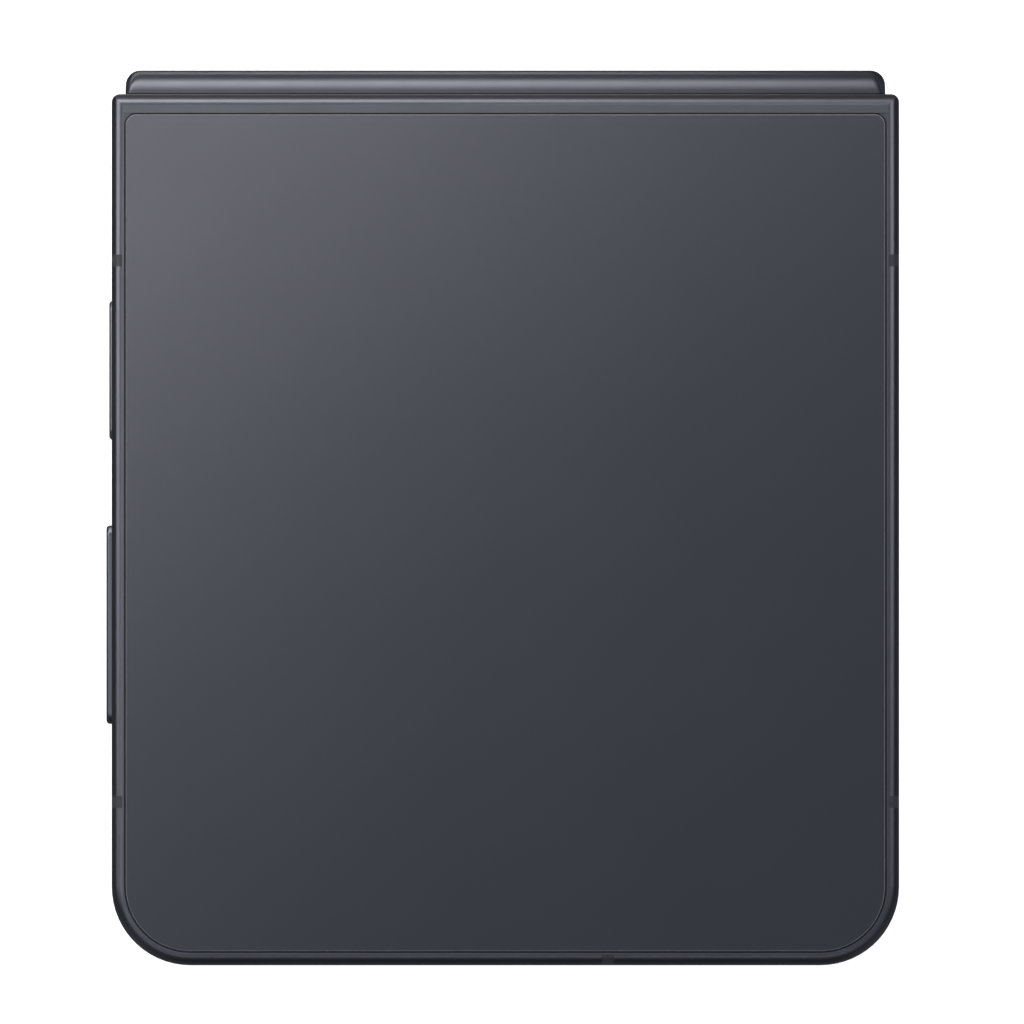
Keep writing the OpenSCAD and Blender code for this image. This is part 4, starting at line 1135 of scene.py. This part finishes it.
class PHONE_OT_charging_coil(bpy.types.Operator):
    """Winds the charging coil on its ferrite sheet"""
    bl_idname = "phone.charging_coil"
    bl_label = "Charging coil"

    def execute(self, context):
        inside = context.scene.phone_inside
        sheet_thick, wire_thick = 0.11 * MM, 0.17 * MM
        inner, margin = 9.6 * MM, 0.7 * MM
        fill = 0.78
        low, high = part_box("charging_coil")
        radius = (high.x - low.x) / 2
        outer = radius - margin
        centre = Vector((0, high.y - radius, 0))
        top = low.z + sheet_thick
        wound = top + wire_thick
        self.sheet(low, radius, centre, top)
        shape = Shape()
        width = fill * (outer - inner) / inside.coil_turns
        self.ribbon(shape, self.spiral(centre, inner, outer, inside.coil_turns), width, top, wound)
        self.leads(shape, low, centre, inner, outer, top, wound)
        copper = rolled_metal("copper_wound", (0.62, 0.27, 0.12), 0.3)
        shape.piece("charging_winding", "plain_half", "copper", copper.material,
                    replaces=["charging_coil"])
        return {"FINISHED"}

    def spiral(self, centre, inner, outer, turns):
        """Middle line of the winding, from its inside to its outside."""
        steps = 48
        path = []
        for k in range(turns * steps + 1):
            turn = 2 * math.pi * k / steps - math.pi / 2
            r = inner + (outer - inner) * k / (turns * steps)
            path.append(Vector((centre.x + r * math.cos(turn), centre.y + r * math.sin(turn))))
        return path

    def leads(self, shape, low, centre, inner, outer, top, wound):
        """Two leads that cross over the turns and then lie down on the tail."""
        aside, half = 0.75 * MM, 0.4 * MM
        lap, sunk, raised = 0.1 * MM, 0.01 * MM, 0.04 * MM
        beyond, over = 0.6 * MM, 0.3 * MM
        tail = centre.y - outer - beyond
        for x, start in ((-aside, outer), (aside, inner)):
            shape.box((x - half, tail - lap, wound - sunk),
                      (x + half, centre.y - start + over, wound + raised))
            shape.box((x - half, low.y + beyond, top), (x + half, tail, wound + raised))

    def sheet(self, low, radius, centre, top):
        """Thin ferrite ring with the film of the tail."""
        half_tail, hole, steps = 1.5 * MM, 9 * MM, 96
        ferrite = Finish("ferrite_sheet", (0.028, 0.028, 0.031), 0.2, 0.55)
        ferrite.vary_color(ferrite.noise(0.4 * MM, 3.0), 0.2)
        ferrite.bump(ferrite.noise(0.2 * MM), 0.002 * MM)
        start = math.asin(half_tail / radius)
        outline = arc(centre.x, centre.y, radius, start - math.pi / 2, 2 * (math.pi - start), steps)
        outline += [(-half_tail, low.y), (half_tail, low.y)]
        plate("charging_sheet", [outline, circle_outline(centre.x, centre.y, hole)], low.z, top,
              "plain_half", ferrite.material)

    def ribbon(self, shape, path, width, z0, z1):
        """A flat ribbon along a path."""
        rings = []
        for i, place in enumerate(path):
            along = (path[min(i + 1, len(path) - 1)] - path[max(i - 1, 0)]).normalized()
            aside = Vector((-along.y, along.x)) * width / 2
            left, right = place + aside, place - aside
            rings.append([(right.x, right.y, z0), (left.x, left.y, z0), (left.x, left.y, z1),
                          (right.x, right.y, z1)])
        shape.stack(rings)


class PHONE_OT_boards(bpy.types.Operator):
    """Finishes the boards, shields, speakers, motor and microphone"""
    bl_idname = "phone.boards"
    bl_label = "Boards and modules"

    def execute(self, context):
        board = Finish("solder_mask", (0.01, 0.05, 0.03), 0.0, 0.35)
        board.vary_color(board.noise(1.2 * MM, 4.0), 0.25)
        board.bump(board.noise(0.5 * MM, 3.0), 0.02 * MM)
        paint(board, "main_board", "sub_board")
        paint(rolled_metal("shield_tinned", (0.55, 0.55, 0.54), 0.32), "board_shields", "microphone")
        paint(plain_plastic("speaker_box", (0.03, 0.03, 0.032), 0.5), "earpiece", "loudspeaker")
        paint(rolled_metal("motor_can", (0.5, 0.5, 0.5), 0.3), "motor_case", "motor_mass")
        return {"FINISHED"}


class BoardParts:
    """Parts on one face of a board, with their sizes in millimetres."""

    EPOXY, CERAMIC, TIN = range(3)
    # shares of the grid's fields with a chip, with a connector, and with rows of small parts
    CHIPS, CONNECTORS, ROWS = 0.34, 0.12, 0.46

    def __init__(self, face, up):
        self.shape = Shape()
        self.face = face
        self.up = up

    def lay(self, draw, pitch, low, high):
        """Fills a field with a loose grid of parts."""
        columns = int((high[0] - low[0]) / pitch)
        rows = int((high[1] - low[1]) / pitch)
        for i in range(columns):
            for j in range(rows):
                x = low[0] + (high[0] - low[0]) * (i + 0.5) / columns
                y = low[1] + (high[1] - low[1]) * (j + 0.5) / rows
                kind = draw.random()
                if kind < self.CHIPS:
                    chip = (draw.uniform(1.5, 2.7), draw.uniform(1.3, 2.5), draw.uniform(0.4, 0.65))
                    self.block(x, y, chip, self.EPOXY)
                elif kind < self.CHIPS + self.CONNECTORS:
                    self.connector(x, y)
                elif kind < self.CHIPS + self.CONNECTORS + self.ROWS:
                    self.small_parts(draw, x, y)

    def block(self, x, y, size, material):
        """A block of a width, depth and height that stands a little way in the board."""
        foot = 0.01 * MM
        width, depth, height = [length * MM for length in size]
        low_z, high_z = sorted((self.face - self.up * foot, self.face + self.up * height))
        self.shape.box((x - width / 2, y - depth / 2, low_z), (x + width / 2, y + depth / 2, high_z),
                       material)

    def connector(self, x, y):
        """A board connector with its rows of soldered legs."""
        legs, leg_pitch, leg_aside = 6, 0.4 * MM, 0.68 * MM
        self.block(x, y, (2.6, 1.1, 0.5), self.EPOXY)
        self.block(x, y, (1.8, 0.35, 0.6), self.TIN)
        for k in range(legs):
            for side in (-1, 1):
                self.block(x + (k - (legs - 1) / 2) * leg_pitch, y + side * leg_aside,
                           (0.18, 0.4, 0.08), self.TIN)

    def small_parts(self, draw, x, y):
        """Two columns of small parts with tinned ends."""
        column_aside, row_pitch, end_aside = 0.72 * MM, 0.85 * MM, 0.42 * MM
        rows = draw.choice((2, 3))
        for k in range(rows):
            for side in (-1, 1):
                along = x + side * column_aside
                across = y + (k - (rows - 1) / 2) * row_pitch
                height = draw.choice((0.25, 0.32, 0.45))
                body = draw.choice((self.EPOXY, self.CERAMIC, self.CERAMIC))
                self.block(along, across, (0.62, 0.5, height), body)
                for end in (-1, 1):
                    self.block(along + end * end_aside, across, (0.22, 0.52, height + 0.01), self.TIN)


class PHONE_OT_board_parts(bpy.types.Operator):
    """Lays chips, small parts and connectors out on the boards"""
    bl_idname = "phone.board_parts"
    bl_label = "Board parts"

    def execute(self, context):
        inside = context.scene.phone_inside
        draw = random.Random(inside.seed)
        epoxy = plain_plastic("chip_epoxy", (0.018, 0.018, 0.019), 0.45, 0.08 * MM, 0.001 * MM)
        ceramic = plain_plastic("part_ceramic", (0.33, 0.22, 0.13), 0.4, 0.08 * MM, 0.001 * MM)
        tin = rolled_metal("solder_tin", (0.6, 0.6, 0.59), 0.25)
        materials = [epoxy.material, ceramic.material, tin.material]
        # piece, board, body, side that faces away from the shields, margins: left, free, right, hinge
        boards = [("main_board_parts", "main_board", "cover_half", -1, (1.5, 9, 1.3, 0.9)),
                  ("sub_board_parts", "sub_board", "plain_half", 1, (0.6, 7.6, 0.6, 0.7))]
        for name, board, body, up, margins in boards:
            left, free, right, hinge = [margin * MM for margin in margins]
            low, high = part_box(board)
            parts = BoardParts(high.z if up > 0 else low.z, up)
            parts.lay(draw, inside.part_pitch, (low.x + left, low.y + free),
                      (high.x - right, high.y - hinge))
            parts.shape.piece(name, body, "board", *materials, bevel=0.03 * MM)
        return {"FINISHED"}


# half the canopy's width, distance from a softbox to what it lights, and the camera's sensor in mm
CANOPY_HALF = 0.16
SOFTBOX_DISTANCE = 0.36
SENSOR_WIDTH = 36.0


class PHONE_OT_stage(bpy.types.Operator):
    """Lays the pale floor and sets the soft lights and the camera"""
    bl_idname = "phone.stage"
    bl_label = "Stage"

    def execute(self, context):
        stage = context.scene.phone_stage
        self.floor(stage)
        self.canopy(stage)
        self.softboxes(stage)
        self.softboxes_below(stage)
        self.world(context.scene, stage)
        self.camera(context.scene, stage)
        return {"FINISHED"}

    def floor(self, stage):
        """Glowing white floor that stays clear when seen from below."""
        half_size = 8.0
        below = 0.01 * MM
        thing, tree = self.card("floor", half_size, -below, "floor_white")
        thing.visible_glossy = False
        thing.visible_transmission = False
        thing.visible_shadow = False
        diffuse = tree.add("ShaderNodeBsdfDiffuse", {"Color": (0.85, 0.85, 0.85, 1)})
        glow = tree.add("ShaderNodeEmission", {"Strength": stage.floor_light})
        both = tree.add("ShaderNodeAddShader", {0: diffuse.outputs[0], 1: glow.outputs[0]})
        clear = tree.add("ShaderNodeBsdfTransparent")
        side = tree.add("ShaderNodeNewGeometry")
        mix = tree.add("ShaderNodeMixShader", {0: side.outputs["Backfacing"], 1: both.outputs[0],
                                               2: clear.outputs[0]})
        tree.add("ShaderNodeOutputMaterial", {"Surface": mix.outputs[0]})

    def card(self, name, half_size, height, finish):
        """A square card that belongs to the stage, and the empty node tree of its material."""
        mesh = bpy.data.meshes.new(name)
        corners = [(x * half_size, y * half_size, 0) for x, y in ((-1, -1), (1, -1), (1, 1), (-1, 1))]
        mesh.from_pydata(corners, [], [(0, 1, 2, 3)])
        thing = bpy.data.objects.new(name, mesh)
        thing.location = (0, 0, height)
        bpy.context.scene.collection.objects.link(thing)
        material = bpy.data.materials.new(finish)
        mesh.materials.append(material)
        tree = Tree(material)
        tree.nodes.clear()
        return thing, tree

    def canopy(self, stage):
        """Soft canopy over the phone, brightest beyond the hinge corner on the key side."""
        thing, tree = self.card("canopy", CANOPY_HALF, stage.canopy_height, "canopy_glow")
        thing.visible_camera = False
        dim = tree.add("ShaderNodeEmission", {"Color": (0.92, 1.0, 1.12, 1),
                                              "Strength": stage.canopy_low})
        place = tree.add("ShaderNodeTexCoord")
        split = tree.add("ShaderNodeSeparateXYZ", {0: place.outputs["Object"]})
        # the light is highest along a line beyond the hinge corner and falls off on both sides of it
        across = tree.math("MULTIPLY_ADD", split.outputs[0],
                           -math.sin(stage.canopy_turn) / stage.canopy_fall,
                           -stage.canopy_from / stage.canopy_fall)
        grown = tree.math("MULTIPLY_ADD", split.outputs[1],
                          math.cos(stage.canopy_turn) / stage.canopy_fall, across)
        fallen = tree.math("MULTIPLY", tree.math("ABSOLUTE", grown), -1.0)
        strength = tree.math("MULTIPLY", tree.math("EXPONENT", fallen), stage.canopy_high)
        bright = tree.add("ShaderNodeEmission", {"Strength": strength})
        both = tree.add("ShaderNodeAddShader", {0: dim.outputs[0], 1: bright.outputs[0]})
        tree.add("ShaderNodeOutputMaterial", {"Surface": both.outputs[0]})

    def softboxes(self, stage):
        """Softboxes beside the phone, each at an angle from straight up as its edge sees it."""
        low, high = CAD_BOX
        top = high[2]
        left, right = (low[0], 0, top), (high[0], 0, top)
        free, hinge = (0, low[1], top), (0, high[1], top)
        spine = (0, high[1], (low[2] + top) / 2)
        glass_nodes = SCREENS + ["back_glass_edge"]
        spine_nodes = SCREENS + ["spine_housing"]
        frame_nodes = SCREENS + ["plain_frame"]
        # name, edge it lights, direction, angle, centre along the edge, width, height, light, unlit
        boxes = [
            ("left_softbox", left, (-1, 0), 51, 0.15, 0.30, 0.22, stage.left_light, glass_nodes),
            ("back_softbox", hinge, (0, 1), 49, -0.14, 0.30, 0.19, 1.25 * stage.back_light,
             spine_nodes),
            ("back_low", hinge, (0, 1), 86, -0.13, 0.30, 0.20, 0.12 * stage.back_light, spine_nodes),
            ("back_fill", hinge, (0, 1), 47, -0.12, 0.30, 0.25, 0.2 * stage.back_light, SCREENS),
            ("right_softbox", right, (1, 0), 44, 0.12, 0.25, 0.22, stage.right_light, SCREENS),
            ("front_softbox", free, (0, -1), 18, 0.0, 0.30, 0.10, stage.front_light, SCREENS),
            ("horizon_softbox", spine, (0, 1), 80, -0.105, 0.28, 0.20, 0.62 * stage.horizon_light,
             frame_nodes),
            ("horizon_band", spine, (0, 1), 83, -0.105, 0.28, 0.09, 0.4 * stage.horizon_light,
             frame_nodes),
            ("horizon_fill", spine, (0, 1), 95, -0.105, 0.28, 0.30, 0.03 * stage.horizon_light, SCREENS),
            ("rim_softbox", spine, (0, 1), 136, -0.11, 0.28, 0.05, stage.rim_light, SCREENS),
        ]
        for name, edge, (x, y), angle, centre, width, height, light, unlit in boxes:
            turn = math.radians(angle)
            along = Vector((abs(y), abs(x), 0))
            target = Vector(edge) + along * centre
            away = Vector((x * math.sin(turn), y * math.sin(turn), math.cos(turn)))
            lamp = self.softbox(name, target, away, along, width, height, light)
            self.shield(lamp, unlit)

    def softboxes_below(self, stage):
        """Softboxes under the phone, off to the cameras' side, for the cover half alone."""
        away = Vector((-0.2, -0.36, -0.91)).normalized()
        side = away.cross(Vector((1, 0, 0))).normalized()
        cover_pieces = CAMERA_PIECES + ["cover_frame", "cover_glass_panel", "cover_print",
                                        "cover_screen"]
        boxes = [("camera_softbox", middle("camera_rings"), 0.12, stage.camera_light, CAMERA_PIECES),
                 ("under_softbox", middle("cover_glass"), 0.3, stage.under_light, cover_pieces)]
        for name, target, width, light, lit in boxes:
            lamp = self.softbox(name, target, away, side, width, width, light)
            lamp.light_linking.receiver_collection = self.group(name + "_only", lit)

    def softbox(self, name, target, away, side, width, height, light):
        """An area light of a given brightness that faces its target from a direction."""
        data = bpy.data.lights.new(name, "AREA")
        data.shape = "RECTANGLE"
        data.size = width
        data.size_y = height
        data.energy = light * math.pi * width * height
        lamp = bpy.data.objects.new(name, data)
        turned = Matrix((side, away.cross(side), away)).transposed().to_4x4()
        lamp.matrix_world = Matrix.Translation(target + away * SOFTBOX_DISTANCE) @ turned
        lamp.visible_camera = False
        bpy.context.scene.collection.objects.link(lamp)
        return lamp

    def group(self, name, pieces):
        """A collection of pieces, for a light's link."""
        group = bpy.data.collections.new(name)
        for piece in pieces:
            group.objects.link(bpy.data.objects[piece])
        return group

    def shield(self, lamp, unlit):
        """Keeps a light off some pieces."""
        name = "without_" + unlit[-1]
        group = bpy.data.collections.get(name)
        if not group:
            group = self.group(name, unlit)
            for entry in group.collection_objects:
                entry.light_linking.link_state = "EXCLUDE"
        lamp.light_linking.receiver_collection = group

    def world(self, scene, stage):
        """Cool light in bands of height, and a glow on the diagonals; the camera sees plain white."""
        scene.world = bpy.data.worlds.new("studio")
        tree = Tree(scene.world)
        tree.nodes.clear()
        cool = (0.94, 0.99, 1.1)
        place = tree.add("ShaderNodeTexCoord")
        split = tree.add("ShaderNodeSeparateXYZ", {0: place.outputs["Generated"]})
        raised = tree.add("ShaderNodeMapRange", {"Value": split.outputs[2], "From Min": -1.0})
        # (height from straight down at 0 to straight up at 1, light)
        bands = [(0.0, 0.3), (0.012, 0.2), (0.035, 0.02), (0.07, 0.02), (0.13, 0.08), (0.25, 0.14),
                 (0.40, 0.1), (0.5, 0.06), (0.6, 0.06), (0.8, 0.06), (0.92, 0.2), (1.0, 0.3)]
        stops = [(height, [part * value for part in cool]) for height, value in bands]
        light = tree.add("ShaderNodeBackground", {"Color": tree.ramp(raised.outputs[0], stops),
                                                  "Strength": stage.world_light})
        # (2xy)^2 is 0 along the edges of the phone and 1 on its diagonals
        product = tree.math("MULTIPLY", split.outputs[0], split.outputs[1])
        double = tree.math("MULTIPLY", product, 2.0)
        corner = tree.math("POWER", tree.math("ABSOLUTE", double), 2.0)
        strength = tree.math("MULTIPLY", corner, stage.corner_light)
        glow = tree.add("ShaderNodeBackground", {"Color": (*cool, 1), "Strength": strength})
        both = tree.add("ShaderNodeAddShader", {0: light.outputs[0], 1: glow.outputs[0]})
        white = tree.add("ShaderNodeBackground", {"Color": (1, 1, 1, 1)})
        path = tree.add("ShaderNodeLightPath")
        mix = tree.add("ShaderNodeMixShader", {0: path.outputs["Is Camera Ray"], 1: both.outputs[0],
                                               2: white.outputs[0]})
        tree.add("ShaderNodeOutputWorld", {"Surface": mix.outputs[0]})
        scene.view_settings.view_transform = "Standard"

    def camera(self, scene, stage):
        """Long lens straight above the back glass, with the hinge at the top of the picture."""
        data = bpy.data.cameras.new("camera")
        data.lens = stage.lens
        data.sensor_width = SENSOR_WIDTH
        distance = stage.frame_width / data.sensor_width * data.lens
        data.clip_start = 0.1
        data.clip_end = 20.0
        thing = bpy.data.objects.new("camera", data)
        thing.location = (stage.aim_x, stage.aim_y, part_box("back_glass")[1].z + distance)
        scene.collection.objects.link(thing)
        scene.camera = thing


# ---------- panel and registration ----------

SETTINGS = {
    "phone_metal": PhoneMetalSettings,
    "phone_glass": PhoneGlassSettings,
    "phone_camera": PhoneCameraSettings,
    "phone_display": PhoneDisplaySettings,
    "phone_inside": PhoneInsideSettings,
    "phone_stage": PhoneStageSettings,
}
OPERATORS = (PHONE_OT_frames, PHONE_OT_back_glass, PHONE_OT_cover_glass, PHONE_OT_cameras,
             PHONE_OT_keys, PHONE_OT_card_tray, PHONE_OT_ports, PHONE_OT_folding_display,
             PHONE_OT_spine, PHONE_OT_hinge, PHONE_OT_batteries, PHONE_OT_charging_coil,
             PHONE_OT_boards, PHONE_OT_board_parts, PHONE_OT_stage)


class PHONE_PT_panel(bpy.types.Panel):
    """Lists the phone's settings and the steps that dress it"""
    bl_idname = "PHONE_PT_panel"
    bl_label = "Folding phone"
    bl_space_type = "VIEW_3D"
    bl_region_type = "UI"
    bl_category = "Phone"

    def draw(self, context):
        for name, group in SETTINGS.items():
            box = self.layout.box()
            box.label(text=group.__doc__)
            for setting in group.__annotations__:
                box.prop(getattr(context.scene, name), setting)
        for operator in OPERATORS:
            self.layout.operator(operator.bl_idname)


def register():
    """Adds the classes and the scene's settings."""
    for group in SETTINGS.values():
        bpy.utils.register_class(group)
    for name, group in SETTINGS.items():
        setattr(bpy.types.Scene, name, PointerProperty(type=group))
    for operator in OPERATORS:
        bpy.utils.register_class(operator)
    bpy.utils.register_class(PHONE_PT_panel)


def unregister():
    """Takes the classes and the scene's settings away again."""
    bpy.utils.unregister_class(PHONE_PT_panel)
    for operator in reversed(OPERATORS):
        bpy.utils.unregister_class(operator)
    for name in SETTINGS:
        delattr(bpy.types.Scene, name)
    for group in reversed(SETTINGS.values()):
        bpy.utils.unregister_class(group)


def main():
    """Dresses the phone from end to end."""
    register()
    for operator in OPERATORS:
        group, name = operator.bl_idname.split(".")
        getattr(getattr(bpy.ops, group), name)()


if __name__ == "__main__":
    main()
